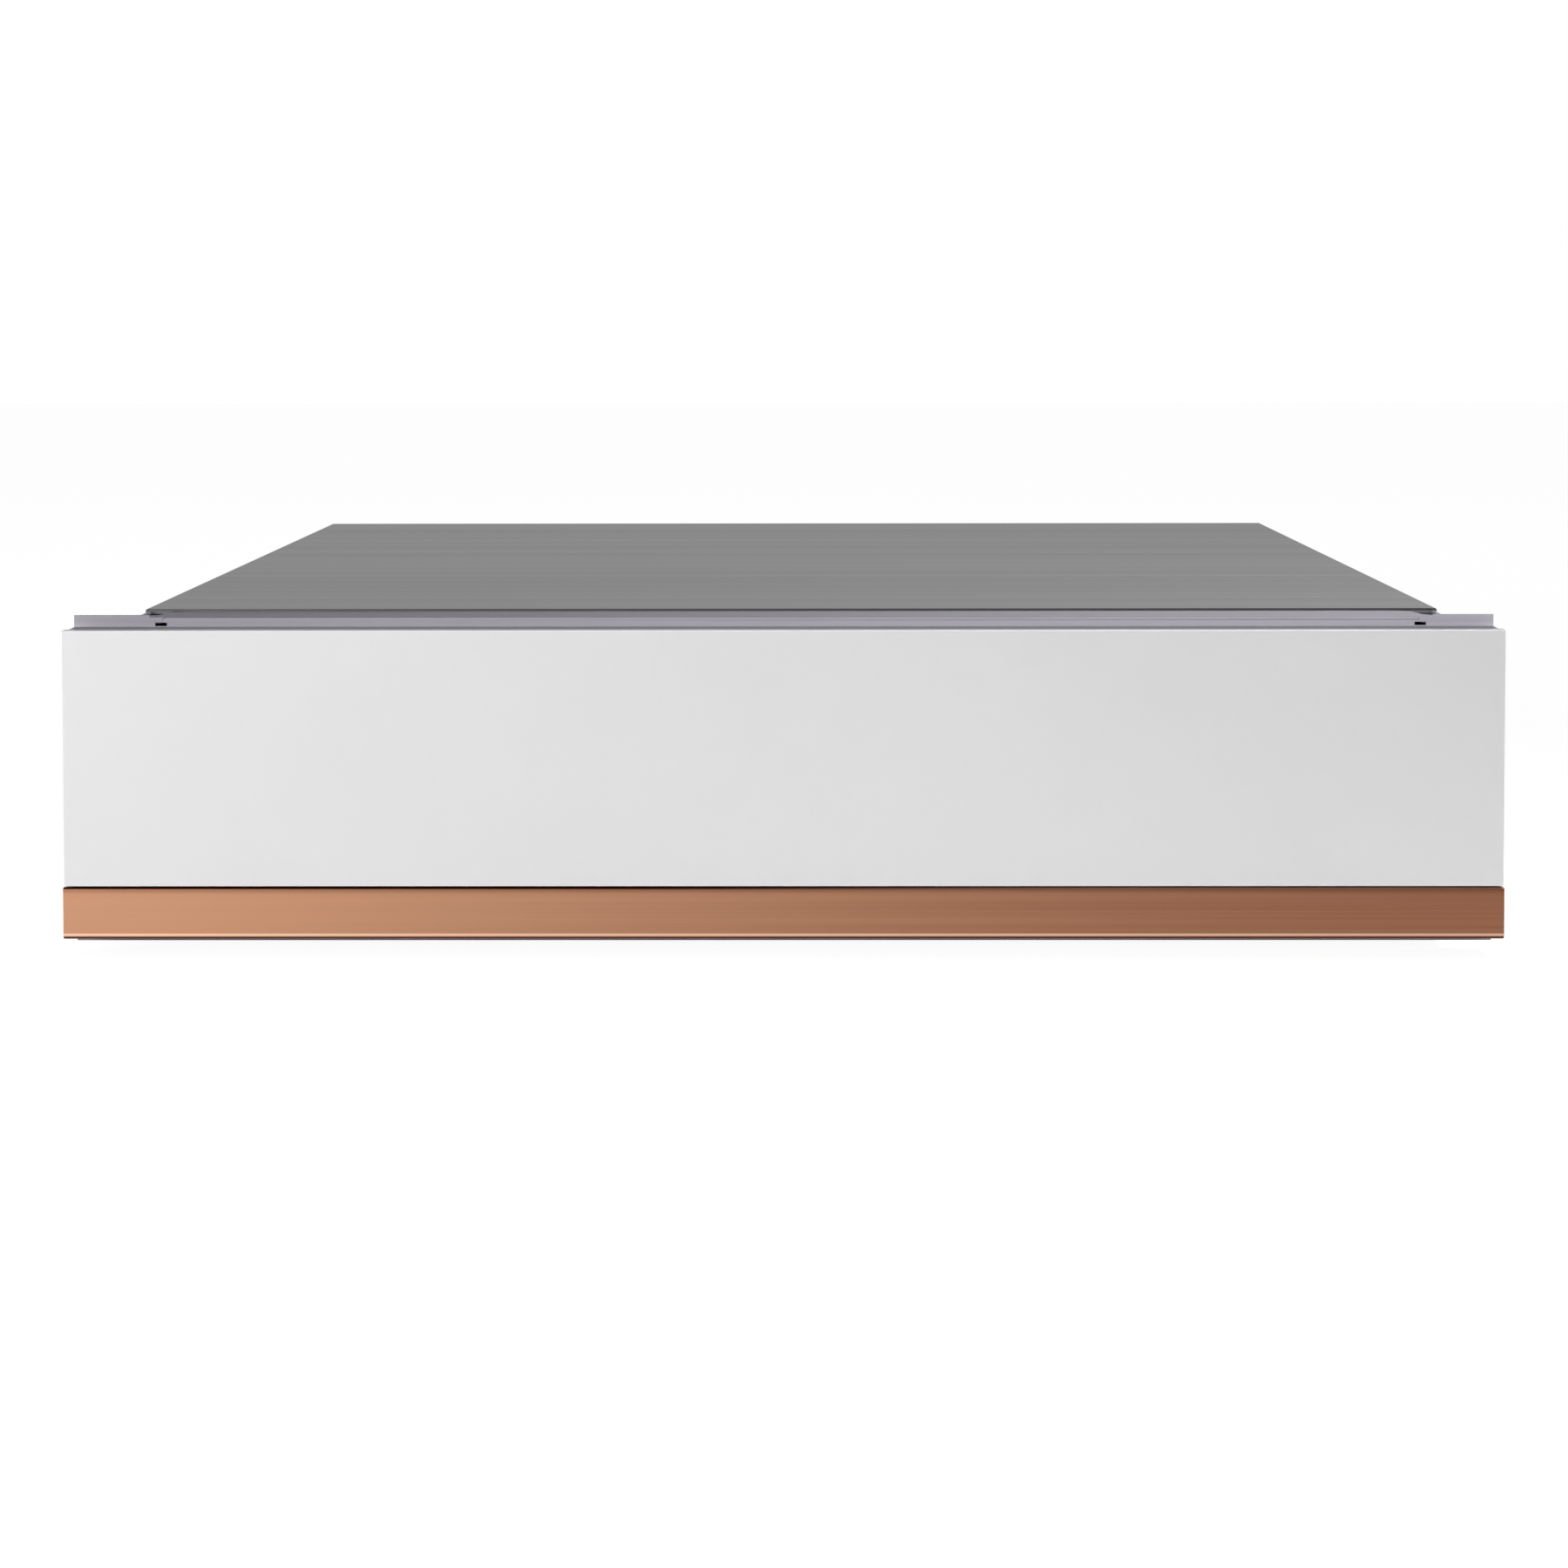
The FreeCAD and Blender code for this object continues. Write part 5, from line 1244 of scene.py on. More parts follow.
@dataclass
class MountingFrame:
    """The painted frame behind the door, with the bend between its flange and its ledge."""

    nodes: dict[str, bpy.types.Object]
    bend: float = 2.1 * MM
    sheet: float = 1.5 * MM
    strip_front: float = 5.0 * MM
    strip_back: float = 7.0 * MM
    dip: float = 0.2 * MM
    tab_rise: float = 0.9 * MM
    tab_step: float = 0.9 * MM
    slot_roof: float = 1.25 * MM
    slot_drop: float = 0.9 * MM

    def build(self) -> None:
        """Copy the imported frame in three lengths, so that its bend ends square beside the slots."""
        whole = bmesh.new()
        whole.from_mesh(self.nodes["front_frame"].data)
        bmesh.ops.remove_doubles(whole, verts=whole.verts[:], dist=1e-6)
        bmesh.ops.dissolve_limit(whole, angle_limit=math.radians(0.5), verts=whole.verts[:], edges=whole.edges[:])
        low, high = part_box("front_frame")
        self._lower_slots(whole, low.y, high.z)
        ledge = [vert.co for vert in whole.verts
                 if vert.co.y > low.y + 2 * self.sheet and vert.co.z > high.z - 1e-5]
        root = [vert.co.x for vert in whole.verts
                if abs(vert.co.y - low.y - self.sheet) < 1e-5 and abs(vert.co.z - high.z) < 1e-5]
        roots = sorted(x for x in root if abs(x - low.x) > 2 * MM and abs(x - high.x) > 2 * MM)
        tips = (min(point.x for point in ledge), max(point.x for point in ledge))
        ends = ((Side.LEFT, roots[0], tips[0]), (Side.RIGHT, roots[-1], tips[1]))
        piece = Piece("mounting_frame")
        middle = whole.copy()
        for side, root_x, tip in ends:
            near = Vector((root_x - side.value * self.strip_front, low.y, 0.0))
            far = Vector((tip - side.value * self.strip_back, high.y, 0.0))
            run = far - near
            plane = (near, Vector((run.y, -run.x, 0.0)).normalized())
            self._trim(middle, plane, side is Side.LEFT)
            length = whole.copy()
            self._trim(length, plane, side is Side.RIGHT)
            self._tilt_end(length, low.y, high.z, tip)
            self._raise_tab(length, low.y, high.z, root_x, side.value)
            piece.add(Stock.taken(length), FRAME_PAINT)
        self._round_bend(middle, low.y, high.z)
        piece.add(Stock.taken(middle), FRAME_PAINT)
        whole.free()
        # The bend and the ledge's upward faces take darker copies of the frame paint, as painted shade.
        piece.repaint(FOLD_SHADED_PAINT, lambda face: 0.3 < face.normal.z <= 0.9
                      and face.calc_center_median().y < low.y + self.bend)
        piece.repaint(LEDGE_SHADED_PAINT, lambda face: face.normal.z > 0.9
                      and face.calc_center_median().z > high.z - self.sheet)
        piece.fit("housing", "painted_frame", "front_frame")

    def _lower_slots(self, shape: Shape, front: float, top: float) -> None:
        """Move the two small slots clear of the bend."""
        near = 0.01 * MM
        roof = top - self.slot_roof
        ends = {round(vert.co.x, 5) for vert in shape.verts if abs(vert.co.z - roof) < near}
        for vert in shape.verts:
            on_flange = vert.co.y < front + 2 * self.sheet and roof - 2 * self.sheet < vert.co.z < roof + near
            if on_flange and round(vert.co.x, 5) in ends:
                vert.co.z -= self.slot_drop

    def _trim(self, shape: Shape, plane: tuple[Vector, Vector], keep_right: bool) -> None:
        """Cut a length off along an upright plane and close the cut."""
        everything = shape.verts[:] + shape.edges[:] + shape.faces[:]
        cut = bmesh.ops.bisect_plane(shape, geom=everything, dist=1e-7, plane_co=plane[0], plane_no=plane[1],
                                     clear_inner=keep_right, clear_outer=not keep_right)
        rim = [part for part in cut["geom_cut"] if isinstance(part, bmesh.types.BMEdge)]
        bmesh.ops.holes_fill(shape, edges=rim, sides=0)

    def _round_bend(self, shape: Shape, front: float, top: float) -> None:
        """Round the upper front edge."""
        near = 0.01 * MM
        edges = [edge for edge in shape.edges
                 if all(abs(vert.co.y - front) < near and abs(vert.co.z - top) < near for vert in edge.verts)]
        bmesh.ops.bevel(shape, geom=edges, offset=self.bend, segments=6, profile=0.5, affect="EDGES",
                        clamp_overlap=False)

    def _raise_tab(self, shape: Shape, front: float, top: float, root: float, side: int) -> None:
        """Make the flange stand a little higher outside the ledge."""
        for offset in (self.tab_step - 0.6 * MM, self.tab_step):
            everything = shape.verts[:] + shape.edges[:] + shape.faces[:]
            bmesh.ops.bisect_plane(shape, geom=everything, dist=1e-7, plane_co=(root + side * offset, 0.0, 0.0),
                                   plane_no=(1.0, 0.0, 0.0))
        for vert in shape.verts:
            outside = (vert.co.x - root) * side > self.tab_step - 0.1 * MM
            if outside and vert.co.z > top - 1e-5 and vert.co.y < front + self.sheet + 1e-5:
                vert.co.z += self.tab_rise

    def _tilt_end(self, shape: Shape, front: float, top: float, tip: float) -> None:
        """Let the outer end of the ledge hang a little."""
        for vert in shape.verts:
            if vert.co.y > front + 2 * self.sheet and vert.co.z > top - 2 * self.sheet:
                share = 1.0 - min(abs(vert.co.x - tip) / self.strip_back, 1.0)
                vert.co.z -= share * self.dip


@dataclass
class TouchPanel:
    """Black glass panel with generic bars, rings and dots that glow through it."""

    corner: float = 4.0 * MM
    polish: float = 0.8 * MM
    print_height: float = 0.04 * MM
    ring_radius: float = 5.0 * MM
    line: float = 0.55 * MM
    bar_count: int = 3
    bar_pitch: float = 7.0 * MM
    bar_rise: float = 5.5 * MM
    touch_radius: float = 2.6 * MM
    touch_drop: float = 4.5 * MM
    window_half: Corner = (17.0 * MM, 7.5 * MM)
    dot_count: int = 5
    dot_pitch: float = 5.5 * MM
    dot_radius: float = 0.8 * MM

    def build(self) -> None:
        """Build the panel and its symbols."""
        low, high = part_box("control_panel")
        piece = Piece("touch_panel")
        piece.add(Stock.profile(rounded(low, high, self.corner), Axis.Z, low.z, high.z - self.print_height,
                                self.polish, 3, 60.0), PANEL_GLASS)
        middle = (low + high) / 2
        span = high.x - low.x
        top = high.z - self.print_height * 2
        for share in (-0.42, 0.42):
            self._ring(piece, middle.x + share * span, middle.y, top)
        for share in (-0.24, 0.24):
            self._level(piece, middle.x + share * span, middle.y, top)
        self._window(piece, middle.x, middle.y, top)
        piece.fit("drawer", "black_glass", "control_panel")

    def _flat(self, piece: Piece, outline: list[Corner], base: float) -> None:
        """A printed patch of any outline."""
        piece.add(Stock.profile(outline, Axis.Z, base, base + self.print_height * 2), PANEL_LAMP)

    def _ring(self, piece: Piece, x: float, y: float, base: float) -> None:
        """An open ring with a dot in its middle."""
        outer = arc((x, y), self.ring_radius, -60, 240, 24)
        inner = arc((x, y), self.ring_radius - self.line, 240, -60, 24)
        self._flat(piece, outer + inner, base)
        self._flat(piece, arc((x, y), self.line * 1.6, 0, 337.5, 15), base)

    def _level(self, piece: Piece, x: float, y: float, base: float) -> None:
        """Three level bars over a touch dot."""
        bar = Stock.slab((-2.4 * MM, -0.5 * MM, 0), (2.4 * MM, 0.5 * MM, self.print_height * 2))
        start = (x - self.bar_pitch * (self.bar_count - 1) / 2, y + self.bar_rise, base)
        piece.row(bar, PANEL_LAMP, self.bar_count, (self.bar_pitch, 0.0, 0.0), start)
        centre = (x, y - self.touch_drop)
        self._flat(piece, arc(centre, self.touch_radius, 0, 345, 23)
                   + arc(centre, self.touch_radius - self.line, 345, 0, 23), base)

    def _window(self, piece: Piece, x: float, y: float, base: float) -> None:
        """A frame line over and under the display's place, with a row of small time dots between them."""
        half_x, half_y = self.window_half
        thin = self.line * 0.6
        for side in (-1, 1):
            start = y + side * half_y
            self._flat(piece, [(x - half_x, start), (x + half_x, start), (x + half_x, start + thin),
                               (x - half_x, start + thin)], base)
        for index in range(self.dot_count):
            dot_x = x + (index - (self.dot_count - 1) / 2) * self.dot_pitch
            self._flat(piece, arc((dot_x, y), self.dot_radius, 0, 330, 11), base)


@dataclass
class Lid:
    """Seal, front profile and counter bar of the glass lid."""

    seal_corner: float = 38.2 * MM
    seal_width: float = 8.0 * MM
    grip_wall: float = 2.1 * MM
    nose_low: float = 0.8 * MM
    nose_high: float = 1.2 * MM
    groove: float = 0.5 * MM
    groove_count: int = 3
    groove_pitch: float = 2.4 * MM
    groove_first: float = 3.2 * MM
    rib: float = 0.35 * MM
    rib_count: int = 7
    rib_margin: float = 1.0 * MM
    rib_shoulder: float = 1.4 * MM

    def build(self) -> None:
        """Build the three pieces."""
        self._seal()
        self._front_profile()
        self._counter_bar()

    def _seal(self) -> None:
        """Hollow-backed gasket with two sealing lips, drawn round the chamber's rim."""
        low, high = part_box("lid_seal")
        half, height = self.seal_width / 2, high.z - low.z
        outline = rounded((low.x + half, low.y + half), (high.x - half, high.y - half),
                          self.seal_corner - half, 12)
        section = [(-half, 0.0), (half, 0.0), (half, height * 0.35), (half * 0.86, height * 0.62)]
        section += arc((half * 0.55, height * 0.72), height * 0.28, 20, 170, 6)
        section += [(half * 0.12, height * 0.42), (-half * 0.12, height * 0.42)]
        section += arc((-half * 0.55, height * 0.72), height * 0.28, 10, 160, 6)
        section += [(-half * 0.86, height * 0.62), (-half, height * 0.35)]
        piece = Piece("lipped_lid_seal")
        path = [(x, y, low.z) for x, y in outline]
        piece.add(Sweeper().run(path, section, GREY_SILICONE), GREY_SILICONE)
        piece.fit("drawer", "silicone_grey", "lid_seal")

    def _front_profile(self) -> None:
        """Grip profile along the lid's front edge, with three anti-slip grooves on top."""
        low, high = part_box("lid_handle")
        glass_low, glass_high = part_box("lid_glass")
        top, under, edge = high.z, low.z, glass_low.y
        outline = [(high.y, top), (high.y, glass_high.z), (edge, glass_high.z), (edge, glass_low.z),
                   (edge + self.grip_wall, glass_low.z), (edge + self.grip_wall, under)]
        outline += arc((low.y + self.nose_low, under + self.nose_low), self.nose_low, 270, 180, 4)
        outline += arc((low.y + self.nose_high, top - self.nose_high), self.nose_high, 180, 90, 5)
        start, groove = low.y + self.groove_first, self.groove
        outline += again([(start, top), (start + groove * 0.5, top - groove),
                          (start + groove * 1.5, top - groove), (start + groove * 2, top)],
                         self.groove_count, (self.groove_pitch, 0.0))
        piece = Piece("lid_grip_profile")
        piece.add(Stock.profile(outline, Axis.X, low.x, high.x, 0.3 * MM, 2, 70.0), SATIN_ALUMINIUM)
        piece.fit("lid", "satin_aluminium", "lid_handle")

    def _counter_bar(self) -> None:
        """Silicone bar with fine ribs that grip the bag."""
        low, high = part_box("counter_bar")
        shoulder, first = low.z + self.rib_shoulder, low.y + self.rib_margin
        outline = [(high.y, high.z), (low.y, high.z), (low.y, shoulder), (first, low.z + self.rib)]
        pitch = (high.y - low.y - 2 * self.rib_margin) / self.rib_count
        outline += again([(first + pitch * 0.3, low.z), (first + pitch * 0.7, low.z),
                          (first + pitch, low.z + self.rib)], self.rib_count, (pitch, 0.0))
        outline.append((high.y, shoulder))
        piece = Piece("ribbed_counter_bar")
        piece.add(Stock.profile(outline, Axis.X, low.x, high.x), GREY_SILICONE)
        piece.fit("lid", "silicone_grey", "counter_bar")


@dataclass
class FanWheel:
    """A hub with cambered blades, turned to any direction."""

    hub: float
    tip: float
    width: float
    bore: float
    count: int
    chord: float
    thickness: float = 1.5 * MM
    chamfer: float = 1.0 * MM

    def add_to(self, piece: Piece, turn: Matrix) -> None:
        """Add the wheel to a piece.

        Args:
            piece: The piece that gets it.
            turn: Moves the wheel from the origin, where its axis is Z, to its place.
        """
        hub, bore, cut, width = self.hub, self.bore, self.chamfer, self.width
        section = ((bore, 0), (hub - cut, 0), (hub, cut), (hub, width - cut), (hub - cut, width),
                   (hub - 2.5 * cut, width), (hub - 3.0 * cut, width - cut), (bore, width - cut))
        piece.add(Stock.turned(section, 36), BLACK_PLASTIC, turn)
        root = hub * 0.9
        piece.ring(self._blade(root), BLACK_PLASTIC, self.count, root, turn)

    def _blade(self, root: float) -> Mesh:
        """A blade that stands out along X, with its root at zero."""
        steps = 8
        line = []
        for index in range(steps + 1):
            share = index / steps
            camber = self.width * 0.12 * math.sin(math.pi * share)
            line.append(((share - 0.5) * self.chord, self.width * (0.1 + 0.8 * share) + camber))
        half = self.thickness / 2
        outline = [(y, z + half) for y, z in line] + [(y, z - half) for y, z in reversed(line)]
        return Stock.profile(outline, Axis.X, 0.0, self.tip - root, self.thickness * 0.3, 2, 60.0)


@dataclass
class PumpUnit:
    """Two-cylinder pump with its motor, fan wheel, silencer and rubber feet."""

    nodes: dict[str, bpy.types.Object]
    head_height: float = 13.0 * MM
    head_gap: float = 4.0 * MM
    head_base: float = 4.0 * MM
    fin: float = 1.6 * MM
    fin_pitch: float = 5.2 * MM
    fin_inset: float = 1.5 * MM
    post_inset: float = 6.0 * MM
    can_length: float = 95.0 * MM
    bell_length: float = 20.0 * MM
    shaft_radius: float = 2.5 * MM
    bolt_radius: float = 3.0 * MM
    bolt_height: float = 2.6 * MM
    washer: float = 0.5 * MM
    plate_pitch: float = 2.6 * MM
    plate_depth: float = 1.1 * MM
    vent_count: int = 26
    wheel_hub: float = 8.0 * MM
    wheel_blades: int = 9
    wheel_chord: float = 9.0 * MM
    rib_count: int = 8
    rib_pitch: float = 4.2 * MM
    rib_first: float = 5.0 * MM

    def build(self) -> None:
        """Build its pieces."""
        self._pump()
        self._motor()
        self._wheel()
        self._silencer()
        self._feet()

    def _bolt(self) -> Mesh:
        """A hexagon bolt head with a washer under it."""
        head = Stock.profile(hexagon(self.bolt_radius), Axis.Z, self.washer, self.bolt_height, 0.3 * MM, 1)
        wide = self.bolt_radius * 1.25
        washer = Stock.turned(((0, 0), (wide, 0), (wide, self.washer), (0, self.washer)), 16)
        both = Piece("bolt")
        for part in (head, washer):
            both.add(part, SCREW_STEEL)
        mesh = bpy.data.meshes.new("bolt")
        both.shape.to_mesh(mesh)
        both.shape.free()
        return mesh

    def _pump(self) -> None:
        """Crankcase with two finned heads, each held by four bolts."""
        low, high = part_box("vacuum_pump")
        seam = high.z - self.head_height
        piece = Piece("twin_cylinder_pump")
        body = Stock.profile(rounded(low, high, 6.0 * MM), Axis.Z, low.z, seam, 1.2 * MM, 3, 60.0)
        piece.add(body, CAST_ALUMINIUM)
        length = (high.y - low.y - 3 * self.head_gap) / 2
        middle = (low.y + high.y) / 2
        left, right = low.x + self.head_gap, high.x - self.head_gap
        base, bolt_foot = seam + self.head_base, high.z - self.bolt_height
        bolts = []
        for side in (-1, 1):
            centre = middle + side * (length + self.head_gap) / 2
            near, far = centre - length / 2, centre + length / 2
            piece.add(Stock.slab((left, near, seam), (right, far, base), 0.8 * MM), CAST_ALUMINIUM)
            count = int((right - left) / self.fin_pitch)
            fin = Stock.slab((0, near + self.fin_inset, base),
                             (self.fin, far - self.fin_inset, high.z - self.fin_inset), 0.3 * MM)
            offset = left + ((right - left) - (count - 1) * self.fin_pitch - self.fin) / 2
            piece.row(fin, CAST_ALUMINIUM, count, (self.fin_pitch, 0.0, 0.0), (offset, 0, 0))
            for x in (left + self.post_inset, right - self.post_inset):
                for y in (near + self.post_inset, far - self.post_inset):
                    post = Stock.turned(((0, base), (4.2 * MM, base), (4.0 * MM, bolt_foot), (0, bolt_foot)), 20)
                    piece.add(post, CAST_ALUMINIUM, Matrix.Translation((x, y, 0)))
                    bolts.append(((x, y, bolt_foot), UP))
        piece.stand(self._bolt(), SCREW_STEEL, bolts)
        piece.fit("drawer", "cast_aluminium", "vacuum_pump")

    def _motor(self) -> None:
        """Motor with cast end bells, a stack of thin plates between them and its shaft."""
        low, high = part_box("pump_motor")
        radius, length = (high.z - low.z) / 2, high.x - low.x
        turn = turned_to((1, 0, 0), left_end(low, high))
        bell, end, pitch = self.bell_length, self.can_length, self.plate_pitch
        can, groove, shaft = radius - 0.5 * MM, radius - self.plate_depth, self.shaft_radius
        section = [(0, 0), (radius - 2.5 * MM, 0), (can, 2.0 * MM), (can, bell)]
        count = int((end - 2 * bell) / pitch)
        section += again([(groove, bell), (groove, bell + 0.5 * MM), (radius, bell + 0.7 * MM),
                          (radius, bell + pitch - 0.2 * MM)], count, (0.0, pitch))
        last = bell + count * pitch
        section += [(groove, last), (can, last), (can, end - 4.0 * MM), (radius - 4.0 * MM, end - 0.6 * MM),
                    (11.0 * MM, end - 0.6 * MM), (10.0 * MM, end + 1.6 * MM), (shaft, end + 1.6 * MM),
                    (shaft, length - 0.4 * MM), (shaft - 0.4 * MM, length), (0, length)]
        piece = Piece("finned_pump_motor")
        piece.add(Stock.turned(section, 56), CAST_ALUMINIUM, turn)
        vent = Stock.slab((0, -1.0 * MM, 0), (1.1 * MM, 1.0 * MM, 12.0 * MM), 0.4 * MM, 1)
        piece.ring(vent, BLACK_PLASTIC, self.vent_count, radius - 1.4 * MM,
                   turn @ Matrix.Translation((0, 0, 4.0 * MM)))
        spread, foot = radius - 8.0 * MM, end - 0.8 * MM
        bolts = [((math.cos(a) * spread, math.sin(a) * spread, foot), UP)
                 for a in (math.radians(45 + 90 * index) for index in range(4))]
        piece.stand(self._bolt(), SCREW_STEEL, bolts, turn)
        piece.fit("drawer", "cast_aluminium", "pump_motor")

    def _wheel(self) -> None:
        """The motor's own fan wheel."""
        low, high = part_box("pump_fan")
        wheel = FanWheel(self.wheel_hub, (high.z - low.z) / 2 - 0.3 * MM, high.x - low.x,
                         self.shaft_radius + 0.05 * MM, self.wheel_blades, self.wheel_chord)
        piece = Piece("motor_fan_wheel")
        wheel.add_to(piece, turned_to((1, 0, 0), left_end(low, high)))
        piece.fit("pump_fan_wheel", "black_plastic", "pump_fan")

    def _silencer(self) -> None:
        """Ribbed exhaust silencer."""
        low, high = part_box("muffler")
        radius, length = (high.z - low.z) / 2, high.x - low.x
        waist = radius * 0.86
        section = [(0, 0), (radius * 0.55, 0), (radius * 0.55, 3.0 * MM), (radius * 0.9, 3.0 * MM)]
        start = self.rib_first
        section += again([(waist, start), (radius, start + 0.6 * MM), (radius, start + 2.2 * MM),
                          (waist, start + 2.8 * MM)], self.rib_count, (0.0, self.rib_pitch))
        section += [(waist, length - 4.0 * MM), (radius * 0.6, length), (0, length)]
        place = left_end(low, high) + Vector((length, 0, 0))
        piece = Piece("ribbed_silencer")
        piece.add(Stock.turned(section, 32), BLACK_PLASTIC, turned_to((-1, 0, 0), place))
        piece.fit("drawer", "black_plastic", "muffler")

    def _feet(self) -> None:
        """Waisted rubber dampers under the pump's plate."""
        radius, height, seats = round_solids(self.nodes["pump_dampers"])
        waist = radius * 0.74
        section = ((0, 0), (radius, 0), (radius, height * 0.22), (waist, height * 0.4), (waist, height * 0.6),
                   (radius, height * 0.78), (radius, height), (0, height))
        piece = Piece("waisted_pump_dampers")
        piece.stand(Stock.turned(section, 28), BLACK_RUBBER, seats)
        piece.fit("drawer", "rubber", "pump_dampers")


@dataclass
class CoolingFan:
    """Wheel of the fan in the drawer's rear wall."""

    hub: float = 12.0 * MM
    shaft: float = 1.55 * MM
    blades: int = 7
    chord: float = 15.0 * MM
    tip_gap: float = 0.4 * MM

    def build(self) -> None:
        """Build the wheel in the middle of its frame."""
        low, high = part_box("cooling_fan_rotor")
        frame_low, frame_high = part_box("cooling_fan_frame")
        half = (frame_high.x - frame_low.x) / 2
        centre = Vector(((frame_low.x + frame_high.x) / 2, low.y, frame_high.z - half))
        tip = min(high.x - centre.x, centre.x - low.x) - self.tip_gap
        piece = Piece("cooling_fan_wheel")
        wheel = FanWheel(self.hub, tip, high.y - low.y, self.shaft, self.blades, self.chord)
        wheel.add_to(piece, turned_to((0, 1, 0), centre))
        piece.fit("cooling_fan", "black_plastic", "cooling_fan_rotor")


@dataclass
class Valves:
    """Coils of the two valves on the manifold."""

    nodes: dict[str, bpy.types.Object]
    coil_height: float = 30.0 * MM
    flange: float = 2.4 * MM
    turns: int = 17
    nut_height: float = 2.0 * MM

    def build(self) -> None:
        """Build both coils, with their flanges, windings, stems and nuts."""
        radius, height, seats = round_solids(self.nodes["solenoid_valves"])
        flange, tall = self.flange, self.coil_height
        inner, wound, end = radius * 0.9, radius * 0.94, tall - flange
        section = [(0, 0), (radius, 0), (radius, flange), (inner, flange)]
        pitch = (tall - 2 * flange) / self.turns
        section += again([(wound, flange + pitch * 0.3), (wound, flange + pitch * 0.7), (inner, flange + pitch)],
                         self.turns, (0.0, pitch))
        section += [(radius, end), (radius, tall), (0, tall)]
        thin = radius * 0.38
        stem = ((0, tall), (thin, tall), (thin, height), (0, height))
        nut = Stock.profile(hexagon(radius * 0.55), Axis.Z, tall, tall + self.nut_height, 0.3 * MM, 1)
        piece = Piece("wound_valve_coils")
        piece.stand(Stock.turned(section, 32), WINDING, seats)
        piece.stand(Stock.turned(stem, 20), SCREW_STEEL, seats)
        piece.stand(nut, SCREW_STEEL, seats)
        piece.repaint(BLACK_PLASTIC, lambda face: self._on_flange(face, seats[0][0][2]))
        piece.fit("drawer", "coil_black", "solenoid_valves")

    def _on_flange(self, face: bmesh.types.BMFace, base: float) -> bool:
        """Whether a face belongs to a coil's end flanges."""
        height = face.calc_center_median().z - base
        edge = 0.05 * MM
        upper = self.coil_height - self.flange - edge < height < self.coil_height + edge
        return height < self.flange + edge or upper


